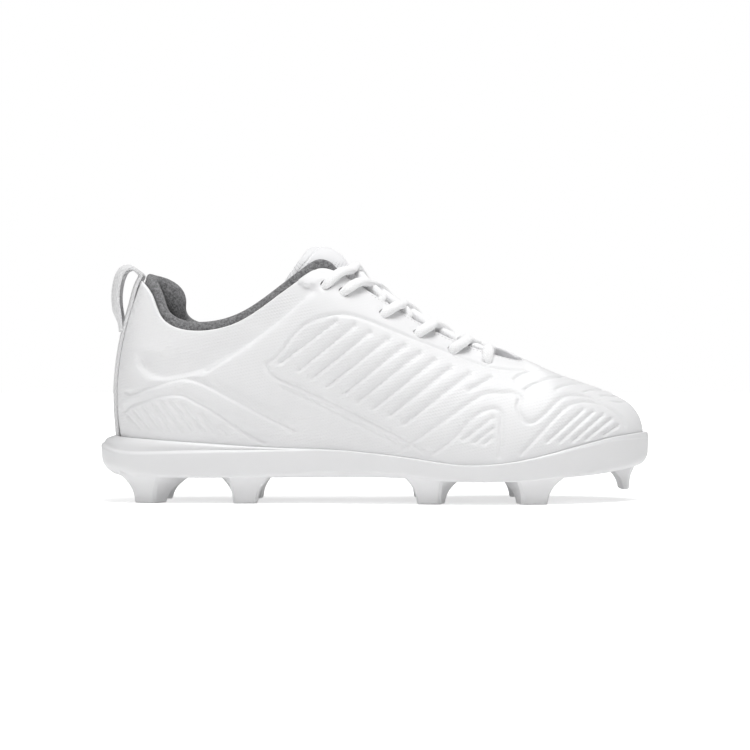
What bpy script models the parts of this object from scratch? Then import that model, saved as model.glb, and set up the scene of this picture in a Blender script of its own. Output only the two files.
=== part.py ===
"""Right baseball cleat, size EU 36: a hollow upper in a moulded cup sole with studs.

Metres, +X to the toe, +Y to the inner side of the foot, +Z up, studs on z = 0.
"""

import math

import bmesh
import bpy
import numpy as np
from mathutils import Matrix, Vector

# Driving sizes
LENGTH = 0.2450  # sole, heel edge to toe edge
BALL_WIDTH = 0.0890  # the shoe across its ball
STUD_HEIGHT = 0.0115  # floor to the underside of the plate at the heel
SIDE_HEIGHT = 0.0177  # underside of the plate to the cup's rim, at the heel
UPPER_HEIGHT = 0.0870  # underside of the plate to the top line, at the heel
WALL = 0.0020  # upper
GAP = 0.0003  # between neighbouring pieces
TUCK = 0.0020  # how far the upper's lower edge draws in below the rim
CORNER_RADIUS = 0.0030  # where the upper turns under
MARGIN = 0.0080  # how far the upper turns under the foot
INSOLE_THICKNESS = 0.0030
LINING_THICKNESS = 0.0048
LINING_RISE = 0.0028  # the padded roll above the upper's edge
LINING_DEPTH = 0.0200  # how far the roll goes down inside
LINING_BACK = 0.00048  # between the roll and the upper's inner face
LINING_SHARES = (1.0, 0.55, 0.10)  # of LINING_DEPTH, down the roll
LINING_THINNING = 0.72  # of its thickness, at its lower edge
LINING_END_RISE = 0.35  # of its rise, at its ends
LINING_END_THICKNESS = 0.45  # of its thickness, at its ends
LINING_EASE = 0.5  # stations over which its ends grow
CREST_ANGLES = (20, 90, 160)  # faces over the roll
CREST_WIDTH = 0.46  # of its thickness, either side of its middle
TONGUE_THICKNESS = 0.0046
TONGUE_FRONT_THICKNESS = 0.0022
TONGUE_ROWS = 15
TONGUE_COLUMNS_ACROSS = 9
TONGUE_END = 0.06  # of its length, where its top end rounds off
TONGUE_END_ROUND = 0.75  # how far the end and the sides thin out
TONGUE_SIDE_ROUND = 0.80
TONGUE_STEP = 0.004  # step that its direction is measured over
TONGUE_ALONG = np.linspace(0, 1, 61)  # places measured along and across its face
TONGUE_ACROSS = np.linspace(-1, 1, 33)
THROAT_PLACES = np.linspace(8.6, 15.0, 80)  # places measured along and up the throat's edges
THROAT_HEIGHTS = np.linspace(0.7, 1, 16)
LACE_RADIUS = 0.0021
LACE_CLEARANCE = 0.0005
LACE_RISE = 1.20  # lift of the crossings over the tongue, in lifts of a strand lying flat
LACE_DIVE = 0.0035  # how far inside the throat's edge a strand ends
LACE_EDGE_LIFT = 1.25
LACE_ARCH = 1.60  # lift over the throat's edge
LACE_ARCH_PLACE = 0.38  # of the way from a hole to the next crossing
TUBE_STEP = 3.5  # lace radii between the rings of faces
LACE_OVERRUN = 0.30  # of the front bar's half, past its middle
LACE_REACH = 1.2  # lace radii round a spot in plan that a strand has to clear
LACE_SIDES = 6
EYELET_RADIUS = 0.0024
WEBBING_WIDTH = 0.0130
WEBBING_THICKNESS = 0.0017
LOOP_HEIGHT = 0.0250  # of the finger loop's opening
# Loop's path from the strip's top end, over and back down to the strip: shares of LOOP_HEIGHT.
LOOP_PATH = ((0.02, 0.07), (-0.06, 0.18), (-0.17, 0.235), (-0.27, 0.22), (-0.36, 0.10),
             (-0.43, -0.12), (-0.45, -0.30), (-0.42, -0.48), (-0.37, -0.66))
LOOP_SEAT = 0.86  # share of LOOP_HEIGHT below the strip's top where the loop is sewn down
SEAM_SHARE = 0.86  # the hidden seam's width in the webbing's
LOOP_FACES = 29  # along the webbing
STUD_TIP_WIDTH = 0.0105  # across the foot
TOE_STUD_CLEARANCE = 0.0050  # toe stud above the floor
RIM_LIP = 0.0022  # flat top of the cup's edge
RIM_SHARE = 0.70  # most of the cup's edge that the flat top takes
CREASE_INSET = 0.0010  # how far the sidewall draws in down to its crease
BED_SHARE = 0.90  # of MARGIN: the cup's bed reaches in under the upper
STRIP_HEIGHTS = np.linspace(0.02, 1.0, 15)  # up the heel, where the webbing lies
HEEL_PLACES = np.linspace(-1.4, 1.4, 57)  # stations round the heel that it bends to
HEEL_MIDDLE = 28
STRIP_LIFT = 1.4  # gaps between the webbing and the heel

# Stations around the shoe, heel centre to toe centre. x and top_x are shares of LENGTH from the
# heel edge; outer, inner and top_half are shares of BALL_WIDTH; rim is a share of SIDE_HEIGHT and
# top_z of UPPER_HEIGHT, both above the plate's underside. turn and fall aim the wall at its top
# (degrees forward of sideways, degrees below level), lean aims it outward at the rim, and low and
# high say how full it is there, as shares of the wall's span.
STATION_COLUMNS = ("x", "outer", "inner", "rim", "top_x", "top_half", "top_z",
                   "turn", "fall", "lean", "low", "high")
STATIONS = (
    (0.035, 0.000, 0.000, 1.000, 0.072, 0.000, 1.000, -90, 70, 9, 0.33, 0.38),
    (0.049, 0.140, 0.140, 0.980, 0.081, 0.096, 0.978, -55, 71, 9, 0.33, 0.38),
    (0.080, 0.236, 0.234, 0.955, 0.098, 0.163, 0.915, -32, 73, 9, 0.34, 0.38),
    (0.124, 0.294, 0.290, 0.910, 0.117, 0.226, 0.806, -14, 76, 9, 0.36, 0.38),
    (0.186, 0.315, 0.306, 0.853, 0.157, 0.274, 0.744, -4, 80, 8, 0.38, 0.38),
    (0.255, 0.319, 0.299, 0.785, 0.212, 0.297, 0.744, 0, 80, 8, 0.38, 0.38),
    (0.324, 0.324, 0.281, 0.734, 0.267, 0.304, 0.799, 0, 78, 7, 0.37, 0.36),
    (0.386, 0.333, 0.270, 0.706, 0.322, 0.298, 0.908, 0, 72, 6, 0.35, 0.32),
    (0.443, 0.348, 0.272, 0.672, 0.366, 0.273, 1.001, 0, 62, 6, 0.33, 0.29),
    (0.496, 0.369, 0.290, 0.605, 0.409, 0.228, 1.054, 0, 48, 5, 0.31, 0.27),
    (0.545, 0.393, 0.321, 0.525, 0.467, 0.192, 0.978, 0, 39, 5, 0.30, 0.26),
    (0.598, 0.425, 0.364, 0.424, 0.537, 0.182, 0.853, 0, 35, 4, 0.30, 0.26),
    (0.655, 0.452, 0.416, 0.330, 0.610, 0.169, 0.735, 0, 33, 4, 0.31, 0.28),
    (0.712, 0.461, 0.454, 0.356, 0.676, 0.147, 0.656, 0, 29, 3, 0.33, 0.31),
    (0.761, 0.449, 0.463, 0.458, 0.732, 0.113, 0.606, 2, 22, 3, 0.35, 0.34),
    (0.806, 0.422, 0.452, 0.605, 0.764, 0.066, 0.588, 4, 12, 2, 0.36, 0.38),
    (0.847, 0.380, 0.427, 0.751, 0.774, 0.000, 0.590, 7, 3, 1, 0.37, 0.41),
    (0.884, 0.326, 0.389, 0.876, 0.811, 0.000, 0.541, 14, 5, 0, 0.37, 0.42),
    (0.916, 0.256, 0.339, 0.977, 0.853, 0.000, 0.497, 26, 9, 0, 0.36, 0.42),
    (0.945, 0.175, 0.276, 1.034, 0.894, 0.000, 0.457, 42, 14, -1, 0.36, 0.40),
    (0.970, 0.079, 0.198, 1.073, 0.926, 0.000, 0.424, 60, 20, -1, 0.36, 0.37),
    (0.985, 0.002, 0.124, 1.088, 0.945, 0.000, 0.399, 76, 26, -2, 0.36, 0.35),
    (0.989, -0.056, 0.056, 1.090, 0.953, 0.000, 0.387, 90, 29, -2, 0.36, 0.34),
)
COLLAR_END = 9  # station where the collar meets the throat
THROAT_END = 16  # station where the throat closes over the vamp
TOE = len(STATIONS) - 1
RIDGE_SHIFT = 0.056  # of BALL_WIDTH: the toe lies toward the inner side
RIDGE_RUN = 0.45  # of LENGTH: from the middle of the shoe to where the shift is full
PER_STATION = 2  # faces between two stations
MOST_HEIGHT = 0.985  # up the wall, where its direction is still well measured
WALL_ROWS = 7
TURN_ANGLES = (50, 90)  # faces of the upper's lower corner

# The cup at the same stations, one row for a stretch of them. bed, ledge and crease are shares of
# SIDE_HEIGHT: depth of the bed and of the outer ledge below the rim, height of the lower crease
# above the plate. ledge_out and foot_in are shares of LENGTH: how far the ledge stands out from
# the upper, and how far the plate's edge lies in from it. plate is the height of the plate's
# underside, as a share of STUD_HEIGHT.
CUP_COLUMNS = ("station", "bed", "ledge", "ledge_out", "crease", "foot_in", "plate")
CUP = (
    (0, 0.46, 0.22, 0.0345, 0.34, 0.0360, 0.98),
    (3, 0.44, 0.27, 0.0205, 0.18, 0.0130, 0.98),
    (5, 0.36, 0.15, 0.0185, 0.18, 0.0120, 0.98),
    (7, 0.28, 0.05, 0.0160, 0.14, 0.0150, 1.00),
    (10, 0.24, 0.04, 0.0150, 0.12, 0.0150, 0.98),
    (12, 0.22, 0.04, 0.0145, 0.09, 0.0100, 0.87),
    (14, 0.24, 0.05, 0.0140, 0.12, 0.0100, 0.90),
    (16, 0.30, 0.07, 0.0130, 0.20, 0.0120, 1.02),
    (18, 0.40, 0.10, 0.0120, 0.24, 0.0150, 1.14),
    (20, 0.46, 0.16, 0.0110, 0.24, 0.0210, 1.28),
    (22, 0.48, 0.20, 0.0105, 0.25, 0.0260, 1.36),
)

# Tongue sections from its top end to its front end, tied to the upper's edge at a station.
# forward and rise move the middle from the upper's edge, back and drop the sides, as shares of
# UPPER_HEIGHT; half is the half width as a share of BALL_WIDTH.
TONGUE_COLUMNS = ("station", "forward", "rise", "back", "drop", "half", "thick")
TONGUE = (
    (7.3, 0.150, 0.246, -0.010, 0.070, 0.172, 0.80),
    (7.8, 0.135, 0.172, -0.012, 0.070, 0.172, 1.00),
    (8.5, 0.100, 0.087, -0.010, 0.090, 0.165, 1.00),
    (9.2, 0.070, 0.050, -0.010, 0.120, 0.168, 1.00),
    (10.0, 0.018, 0.012, 0.000, 0.150, 0.200, 0.95),
    (11.0, 0.006, 0.006, 0.000, 0.150, 0.232, 0.85),
    (12.0, 0.000, -0.002, 0.000, 0.150, 0.228, 0.72),
    (13.0, 0.000, -0.014, 0.000, 0.140, 0.214, 0.60),
    (14.0, 0.000, -0.026, 0.000, 0.120, 0.190, 0.50),
    (15.0, 0.000, -0.040, 0.000, 0.095, 0.160, 0.42),
    (16.0, 0.015, -0.060, 0.000, 0.085, 0.135, 0.36),
)

# Lace holes: the station they sit at, their set-back from the throat's edge in metres, and the
# station where the strand from the hole dips under the far edge.
EYELET_COLUMNS = ("station", "set_back", "reach")
EYELETS = (
    (8.98, 0.0095, 10.80),
    (9.56, 0.0105, 11.45),
    (10.66, 0.0092, 11.95),
    (11.50, 0.0088, 12.75),
    (12.38, 0.0085, 13.60),
    (13.36, 0.0080, 13.36),
)

# Studs: middle of the tip and its length, as shares of LENGTH, then how far the root spreads
# behind and ahead on the stud's outer and inner face, as shares of LENGTH too.
STUD_COLUMNS = ("x", "length", "back_out", "back_in", "ahead_out", "ahead_in")
STUDS = (
    (0.0977, 0.0449, 0.023, 0.024, 0.014, 0.042),
    (0.2681, 0.0435, 0.012, 0.030, 0.025, 0.027),
    (0.5982, 0.0430, 0.019, 0.021, 0.008, 0.029),
    (0.7764, 0.0478, 0.015, 0.027, 0.025, 0.027),
)
STUD_INSET = 0.0030  # tip's outer edge in from the plate's edge
STUD_ROOT_OUT = 0.0014  # spread of the root toward the plate's edge
STUD_ROOT_IN = 0.0070  # spread of the root toward the middle
STUD_CHAMFER = 0.0012
STUD_FLARE = ((0.0, 0.0), (0.30, 0.10), (0.62, 0.38), (0.88, 0.82), (1.0, 1.1))  # height, spread
STUD_SINK = 0.0012  # how far a root reaches into the plate
TOE_STUD = {"x": 0.9535, "length": 0.0145, "back_out": 0.030, "back_in": 0.030,
            "ahead_out": 0.009, "ahead_in": 0.009}
TOE_STUD_WIDTH = 0.0160
TOE_STUD_ROOT = 0.0030  # spread of the toe stud's root to either side


def clear_scene():
    for obj in list(bpy.data.objects):
        bpy.data.objects.remove(obj, do_unlink=True)


def finish_material(name, color, roughness, metallic=0.0):
    material = bpy.data.materials.new(name)
    material.use_nodes = True
    shader = material.node_tree.nodes["Principled BSDF"]
    shader.inputs["Base Color"].default_value = (*color, 1.0)
    shader.inputs["Roughness"].default_value = roughness
    shader.inputs["Metallic"].default_value = metallic
    return material


def make_object(name, bm, material=None):
    bmesh.ops.recalc_face_normals(bm, faces=bm.faces)
    mesh = bpy.data.meshes.new(name)
    bm.to_mesh(mesh)
    bm.free()
    mesh.shade_smooth()
    mesh.set_sharp_from_angle(angle=math.radians(38))
    obj = bpy.data.objects.new(name, mesh)
    bpy.context.scene.collection.objects.link(obj)
    if material:
        mesh.materials.append(material)
    return obj


def join_by_boolean(body, tool, operation):
    """Adds tool to body, or cuts it away, and removes the tool."""
    modifier = body.modifiers.new("Join", "BOOLEAN")
    modifier.operation = operation
    modifier.solver = "EXACT"
    modifier.object = tool
    bpy.context.view_layer.update()
    graph = bpy.context.evaluated_depsgraph_get()
    mesh = bpy.data.meshes.new_from_object(body.evaluated_get(graph))
    body.modifiers.clear()
    old = body.data
    body.data = mesh
    bpy.data.meshes.remove(old)
    bpy.data.objects.remove(tool, do_unlink=True)


def unit(vectors):
    return vectors / np.linalg.norm(vectors, axis=-1, keepdims=True)


def natural_curve(knots, values):
    """A smooth curve through rows of values at rising knots, as a function of the knot."""
    knots = np.asarray(knots, float)
    values = np.asarray(values, float)
    count = len(knots)
    step = np.diff(knots)
    matrix = np.eye(count)
    right = np.zeros_like(values)
    for row in range(1, count - 1):
        matrix[row, row - 1] = step[row - 1]
        matrix[row, row] = 2 * (step[row - 1] + step[row])
        matrix[row, row + 1] = step[row]
        rise = (values[row + 1] - values[row]) / step[row]
        right[row] = 6 * (rise - (values[row] - values[row - 1]) / step[row - 1])
    bend = np.linalg.solve(matrix, right)

    def at(where):
        where = np.atleast_1d(np.asarray(where, float))
        low = np.clip(np.searchsorted(knots, where) - 1, 0, count - 2)
        width = step[low][:, None]
        ahead = (where - knots[low])[:, None]
        left = width - ahead
        curve = (bend[low] * left**3 + bend[low + 1] * ahead**3) / (6 * width)
        curve += (values[low] / width - bend[low] * width / 6) * left
        curve += (values[low + 1] / width - bend[low + 1] * width / 6) * ahead
        return curve

    return at


def closed_curve(values):
    """A smooth closed curve through rows of values at whole knots, as a function of the knot."""
    values = np.asarray(values, float)
    count = len(values)
    turns = np.eye(count) * 4
    turns += np.roll(np.eye(count), 1, axis=1) + np.roll(np.eye(count), -1, axis=1)
    second = np.roll(values, -1, axis=0) - 2 * values + np.roll(values, 1, axis=0)
    bend = np.linalg.solve(turns, 6 * second)

    def at(where):
        where = np.atleast_1d(np.asarray(where, float)) % count
        low = np.floor(where).astype(int) % count
        high = (low + 1) % count
        ahead = (where - np.floor(where))[:, None]
        left = 1 - ahead
        curve = values[low] * left + values[high] * ahead
        return curve + (bend[low] * (left**3 - left) + bend[high] * (ahead**3 - ahead)) / 6

    return at


class Last:
    """The upper's outer surface, as a function of the place around the shoe and the height."""

    def __init__(self):
        rows = [dict(zip(STATION_COLUMNS, row)) for row in STATIONS]
        around = [self.knot(row, -1, index) for index, row in enumerate(rows)]
        around += [self.knot(rows[index], 1, index) for index in range(TOE - 1, 0, -1)]
        self.curve = closed_curve(around)
        self.count = len(around)
        cup = np.array(CUP)
        self.cup = natural_curve(cup[:, 0], cup[:, 1:])

    def knot(self, row, side, index):
        width = row["outer"] if side < 0 else row["inner"]
        turn = math.radians(row["turn"])
        along = max(0.0, (row["top_x"] - 0.5) / RIDGE_RUN)
        ridge = RIDGE_SHIFT * min(1.0, along)
        return (
            (row["x"] - 0.5) * LENGTH,
            side * width * BALL_WIDTH,
            STUD_HEIGHT + row["rim"] * SIDE_HEIGHT,
            (row["top_x"] - 0.5) * LENGTH,
            (ridge + side * row["top_half"]) * BALL_WIDTH,
            STUD_HEIGHT + row["top_z"] * UPPER_HEIGHT,
            math.sin(turn),
            side * math.cos(turn),
            row["fall"],
            row["lean"],
            row["low"],
            row["high"],
        )

    def place(self, station, side):
        """Knot of a station on the outer side (-1) or the inner side (1)."""
        return np.asarray(station, float) if side < 0 else self.count - np.asarray(station, float)

    def station(self, knots):
        knots = np.asarray(knots, float) % self.count
        return np.minimum(knots, self.count - knots)

    def rim(self, knots):
        return self.curve(knots)[:, 0:3]

    def top(self, knots):
        """Upper's top edge; over the vamp both sides meet on the ridge."""
        top = self.curve(knots)[:, 3:6].copy()
        over = self.station(knots) >= THROAT_END - 1e-6
        along = np.clip((top[:, 0] / LENGTH) / RIDGE_RUN, 0, 1)
        ridge = RIDGE_SHIFT * BALL_WIDTH * along
        side = np.where(np.asarray(knots) % self.count <= self.count / 2, -1, 1)
        half = np.maximum((top[:, 1] - ridge) * side, 0)
        top[:, 1] = np.where(over, ridge, ridge + side * half)
        return top

    def outward(self, knots):
        step = 0.01
        ahead = self.rim(np.asarray(knots) + step) - self.rim(np.asarray(knots) - step)
        across = np.stack([ahead[:, 1], -ahead[:, 0], np.zeros(len(ahead))], axis=1)
        return unit(across)

    def wall(self, knots, heights):
        """Points of the wall, height 0 at the rim and 1 at the top edge."""
        row = self.curve(knots)
        rim = row[:, 0:3]
        top = self.top(knots)
        span = np.linalg.norm(top - rim, axis=1, keepdims=True)
        lean = np.radians(row[:, 9:10])
        up = np.array([[0.0, 0.0, 1.0]])
        start = rim + row[:, 10:11] * span * (self.outward(knots) * np.sin(lean) + up * np.cos(lean))
        aim = unit(np.concatenate([row[:, 6:8], np.zeros((len(row), 1))], axis=1))
        fall = np.radians(row[:, 8:9])
        end = top + row[:, 11:12] * span * (aim * np.cos(fall) - up * np.sin(fall))
        h = np.asarray(heights, float)[None, :, None]
        return (
            rim[:, None] * (1 - h) ** 3
            + start[:, None] * 3 * h * (1 - h) ** 2
            + end[:, None] * 3 * h**2 * (1 - h)
            + top[:, None] * h**3
        )

    def wall_normals(self, knots, heights):
        knots = np.asarray(knots, float)
        heights = np.minimum(np.asarray(heights, float), MOST_HEIGHT)
        around = self.wall(knots + 0.02, heights) - self.wall(knots - 0.02, heights)
        low = np.clip(heights - 0.01, 0, 1)
        high = np.clip(heights + 0.01, 0, 1)
        rise = self.wall(knots, high) - self.wall(knots, low)
        normals = unit(np.cross(around, rise))
        return normals

    def bed(self, knots):
        return self.rim(knots)[:, 2] - self.cup(self.station(knots))[:, 0] * SIDE_HEIGHT

    def foot(self, knots, inward):
        """The upper below its rim: turned under along the bed, moved inward from its outer face."""
        rim = self.rim(knots)
        out = self.outward(knots)
        bed = self.bed(knots) + GAP + inward
        radius = CORNER_RADIUS - inward
        turned = [(-TUCK - CORNER_RADIUS - MARGIN, 0.0), (-TUCK - CORNER_RADIUS, 0.0)]
        for angle in TURN_ANGLES:
            swing = math.radians(angle)
            side = -TUCK - CORNER_RADIUS + radius * math.sin(swing)
            turned.append((side, radius * (1 - math.cos(swing))))
        rows = []
        for side, height in turned:
            level = bed + height
            rows.append(np.concatenate([rim[:, :2] + out[:, :2] * side, level[:, None]], axis=1))
        return np.stack(rows, axis=1)


def fill_between(bm, ring, half):
    """Closes a ring around the shoe with faces from side to side."""
    count = len(ring)
    for index in range(half):
        corners = [ring[index], ring[index + 1], ring[(count - index - 1) % count], ring[-index % count]]
        kept = []
        for vert in corners:
            if vert not in kept:
                kept.append(vert)
        if len(kept) > 2:
            bm.faces.new(kept)


def knots_all(last):
    return np.arange(last.count * PER_STATION) / PER_STATION


def add_grid(bm, points):
    return [[bm.verts.new(point) for point in column] for column in points]


def skin(bm, columns, closed):
    """Faces over a grid of verts; a shared vert leaves a triangle."""
    count = len(columns)
    for index in range(count if closed else count - 1):
        here = columns[index]
        there = columns[(index + 1) % count]
        for row in range(len(here) - 1):
            kept = []
            for vert in (here[row], there[row], there[row + 1], here[row + 1]):
                if vert not in kept:
                    kept.append(vert)
            if len(kept) > 2:
                bm.faces.new(kept)


def build_upper(last, material):
    knots = knots_all(last)
    heights = np.linspace(0, 1, WALL_ROWS + 1)
    wall = last.wall(knots, heights)
    normals = last.wall_normals(knots, heights)
    outside = np.concatenate([last.foot(knots, 0.0), wall], axis=1)
    inside = np.concatenate([last.foot(knots, WALL), wall - normals * WALL], axis=1)
    station = last.station(knots)
    half = len(knots) // 2
    for index in range(1, half):
        if station[index] >= THROAT_END - 1e-6:
            other = len(knots) - index
            middle = (inside[index, -1] + inside[other, -1]) / 2
            inside[index, -1] = middle
            inside[other, -1] = middle
    bm = bmesh.new()
    outer = add_grid(bm, outside)
    inner = add_grid(bm, inside)
    for index in range(1, half):
        if station[index] >= THROAT_END - 1e-6:
            other = len(knots) - index
            for grid in (outer, inner):
                bm.verts.remove(grid[other][-1])
                grid[other][-1] = grid[index][-1]
    skin(bm, outer, True)
    skin(bm, [column[::-1] for column in inner], True)
    count = len(knots)
    for index in range(count):
        after = (index + 1) % count
        bm.faces.new((outer[index][0], inner[index][0], inner[after][0], outer[after][0]))
        if min(station[index], station[after]) < THROAT_END - 1e-6:
            kept = []
            for vert in (outer[index][-1], outer[after][-1], inner[after][-1], inner[index][-1]):
                if vert not in kept:
                    kept.append(vert)
            bm.faces.new(kept)
    upper = make_object("upper", bm, material)
    for row in EYELETS:
        hole = dict(zip(EYELET_COLUMNS, row))
        for side in (-1, 1):
            place, normal = eyelet_place(last, hole, side)
            cut_hole(upper, place, normal)
    return upper


def eyelet_place(last, hole, side):
    """Centre and outward direction of a lace hole on the upper's outer face."""
    knot = [last.place(hole["station"], side)]
    heights = np.linspace(1, 0.5, 60)
    path = last.wall(knot, heights)[0]
    run = np.concatenate([[0], np.cumsum(np.linalg.norm(np.diff(path, axis=0), axis=1))])
    height = np.interp(hole["set_back"], run, heights)
    place = last.wall(knot, [height])[0, 0]
    normal = last.wall_normals(knot, [height])[0, 0]
    return Vector(place), Vector(normal)


def cut_hole(body, place, normal):
    bm = bmesh.new()
    bmesh.ops.create_cone(bm, cap_ends=True, segments=12, radius1=EYELET_RADIUS, radius2=EYELET_RADIUS,
                          depth=4 * WALL)
    cutter = make_object("hole_cutter", bm)
    cutter.matrix_world = normal.to_track_quat("Z", "Y").to_matrix().to_4x4()
    cutter.location = place
    join_by_boolean(body, cutter, "DIFFERENCE")


def build_insole(last, material):
    knots = knots_all(last)[::PER_STATION]
    rim = last.rim(knots)
    out = last.outward(knots)
    edge = rim[:, :2] - out[:, :2] * (TUCK + WALL + 2 * GAP)
    floor = last.bed(knots) + 2 * GAP + WALL
    rounding = INSOLE_THICKNESS / 4
    bm = bmesh.new()
    rings = []
    for side, level in ((-MARGIN, 0.0), (-CORNER_RADIUS, 0.0), (0.0, 2 * rounding),
                        (-rounding, INSOLE_THICKNESS)):
        ring = np.concatenate([edge + out[:, :2] * side, (floor + level)[:, None]], axis=1)
        rings.append([bm.verts.new(point) for point in ring])
    skin(bm, [list(column) for column in zip(*rings)], True)
    half = len(knots) // 2
    fill_between(bm, rings[0], half)
    fill_between(bm, rings[-1], half)
    return make_object("insole", bm, material)


def cup_section(last, knots):
    """Rings of the sole from the middle of the bed over the rim to the middle of the plate."""
    rim = last.rim(knots)
    out = last.outward(knots)
    bed, ledge, ledge_out, crease, foot_in, plate = last.cup(last.station(knots)).T
    top = rim[:, 2]
    bed_z = top - bed * SIDE_HEIGHT
    plate_z = plate * STUD_HEIGHT
    crease_z = plate_z + crease * SIDE_HEIGHT
    edge = ledge_out * LENGTH
    foot = edge - foot_in * LENGTH
    zero = np.zeros(len(knots))
    radius = CORNER_RADIUS + GAP
    corner = zero - TUCK - CORNER_RADIUS
    sections = [(corner - BED_SHARE * MARGIN, bed_z), (corner, bed_z)]
    for angle in TURN_ANGLES:
        swing = math.radians(angle)
        sections.append((corner + radius * math.sin(swing), bed_z + radius * (1 - math.cos(swing))))
    sections += [
        (zero + GAP, top - GAP),
        (zero + GAP + np.minimum(RIM_LIP, edge * RIM_SHARE), top),
        (edge, top - ledge * SIDE_HEIGHT),
        (edge - CREASE_INSET, crease_z),
        (foot, plate_z),
        (foot - MARGIN, plate_z),
    ]
    rings = []
    for side, level in sections:
        ring = np.concatenate([rim[:, :2] + out[:, :2] * side[:, None], level[:, None]], axis=1)
        rings.append(ring)
    return rings


def plate_edge(last, x, side):
    """The plate's lower edge at a place along the shoe."""
    knots = last.place(np.linspace(0, TOE, 400), side)
    ring = cup_section(last, knots)[-2]
    return ring[int(np.argmin(np.abs(ring[:, 0] - x)))]


def stud_body(stud, half_width, root_out, root_in, tip_z, root_z):
    """A stud about its own middle, spread in a hollow curve from its tip to its root. +Y is outward."""
    bm = bmesh.new()
    rings = []
    half = stud["length"] * LENGTH / 2
    cut = STUD_CHAMFER
    for share, flare in STUD_FLARE:
        level = tip_z + (root_z - tip_z) * share
        back_out = half + stud["back_out"] * LENGTH * flare
        back_in = half + stud["back_in"] * LENGTH * flare
        ahead_out = half + stud["ahead_out"] * LENGTH * flare
        ahead_in = half + stud["ahead_in"] * LENGTH * flare
        out = half_width + root_out * flare
        inner = -half_width - root_in * flare
        outline = (
            (-back_out, out - cut), (-back_out + cut, out),
            (ahead_out - cut, out), (ahead_out, out - cut),
            (ahead_in, inner + cut), (ahead_in - cut, inner),
            (-back_in + cut, inner), (-back_in, inner + cut),
        )
        rings.append([bm.verts.new((x, y, level)) for x, y in outline])
    skin(bm, [list(column) for column in zip(*rings)], True)
    bm.faces.new(rings[0])
    bm.faces.new(rings[-1])
    return bm


def add_stud(outsole, last, stud, side):
    """Sets a stud along the plate's edge, its outer face turned the way the edge runs."""
    x = (stud["x"] - 0.5) * LENGTH
    half = stud["length"] * LENGTH / 2
    behind = plate_edge(last, x - half, side)
    ahead = plate_edge(last, x + half, side)
    edge = plate_edge(last, x, side)
    half_width = STUD_TIP_WIDTH / 2
    turn = math.atan2(ahead[1] - behind[1], ahead[0] - behind[0])
    bm = stud_body(stud, half_width, STUD_ROOT_OUT, STUD_ROOT_IN, 0.0, edge[2] + STUD_SINK)
    bmesh.ops.scale(bm, vec=(1, side, 1), verts=bm.verts)
    bmesh.ops.rotate(bm, matrix=Matrix.Rotation(turn, 3, "Z"), verts=bm.verts)
    middle = edge[1] - side * (STUD_INSET + half_width)
    bmesh.ops.translate(bm, vec=(x, middle, 0), verts=bm.verts)
    join_by_boolean(outsole, make_object("stud_blank", bm), "UNION")


def build_outsole(last, material):
    knots = knots_all(last)
    bm = bmesh.new()
    rings = [[bm.verts.new(point) for point in ring] for ring in cup_section(last, knots)]
    skin(bm, [list(column) for column in zip(*rings)], True)
    half = len(knots) // 2
    fill_between(bm, rings[0], half)
    fill_between(bm, rings[-1], half)
    outsole = make_object("outsole", bm, material)
    for row in STUDS:
        for side in (-1, 1):
            add_stud(outsole, last, dict(zip(STUD_COLUMNS, row)), side)
    toe_x = (TOE_STUD["x"] - 0.5) * LENGTH
    root_z = plate_edge(last, toe_x, -1)[2] + STUD_SINK
    blank = stud_body(
        TOE_STUD, TOE_STUD_WIDTH / 2, TOE_STUD_ROOT, TOE_STUD_ROOT, TOE_STUD_CLEARANCE, root_z)
    bmesh.ops.translate(blank, vec=(toe_x, RIDGE_SHIFT * BALL_WIDTH, 0), verts=blank.verts)
    join_by_boolean(outsole, make_object("stud_blank", blank), "UNION")
    return outsole


def build_lining(last, material):
    ends = COLLAR_END
    steps = int(COLLAR_END * PER_STATION)
    outer = np.linspace(-ends, ends, 2 * steps + 1)
    knots = -outer % last.count
    top = last.top(knots)
    heights = np.linspace(1, 0.4, 40)
    wall = last.wall(knots, heights)
    normals = last.wall_normals(knots, heights)
    steps_down = np.linalg.norm(np.diff(wall, axis=1), axis=2)
    run = np.concatenate([np.zeros((len(knots), 1)), np.cumsum(steps_down, axis=1)], axis=1)
    back = WALL + LINING_BACK
    columns = []
    for index in range(len(knots)):
        normal = normals[index, 0]
        up = unit(wall[index, 0] - wall[index, 2])
        ease = min(1.0, (ends - abs(outer[index])) / LINING_EASE)
        rise = LINING_RISE * (LINING_END_RISE + (1 - LINING_END_RISE) * ease)
        thick = LINING_THICKNESS * (LINING_END_THICKNESS + (1 - LINING_END_THICKNESS) * ease)
        outside = []
        inside = []
        for share in LINING_SHARES:
            far = share * LINING_DEPTH
            place = np.array([np.interp(far, run[index], wall[index, :, axis]) for axis in range(3)])
            turn = [np.interp(far, run[index], normals[index, :, axis]) for axis in range(3)]
            turn = unit(np.array(turn))
            full = thick * (1 - LINING_THINNING * share**2)
            outside.append(place - turn * back)
            inside.append(place - turn * (back + full))
        crest = []
        for angle in CREST_ANGLES:
            swing = math.radians(angle)
            centre = top[index] - normal * (back + thick / 2)
            across = normal * math.cos(swing) * thick * CREST_WIDTH
            crest.append(centre + across + up * rise * math.sin(swing))
        columns.append(outside + crest + inside[::-1])
    bm = bmesh.new()
    grid = [[bm.verts.new(point) for point in column] for column in columns]
    skin(bm, [column + column[:1] for column in grid], False)
    bm.faces.new(grid[0])
    bm.faces.new(grid[-1])
    return make_object("collar_lining", bm, material)


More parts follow.
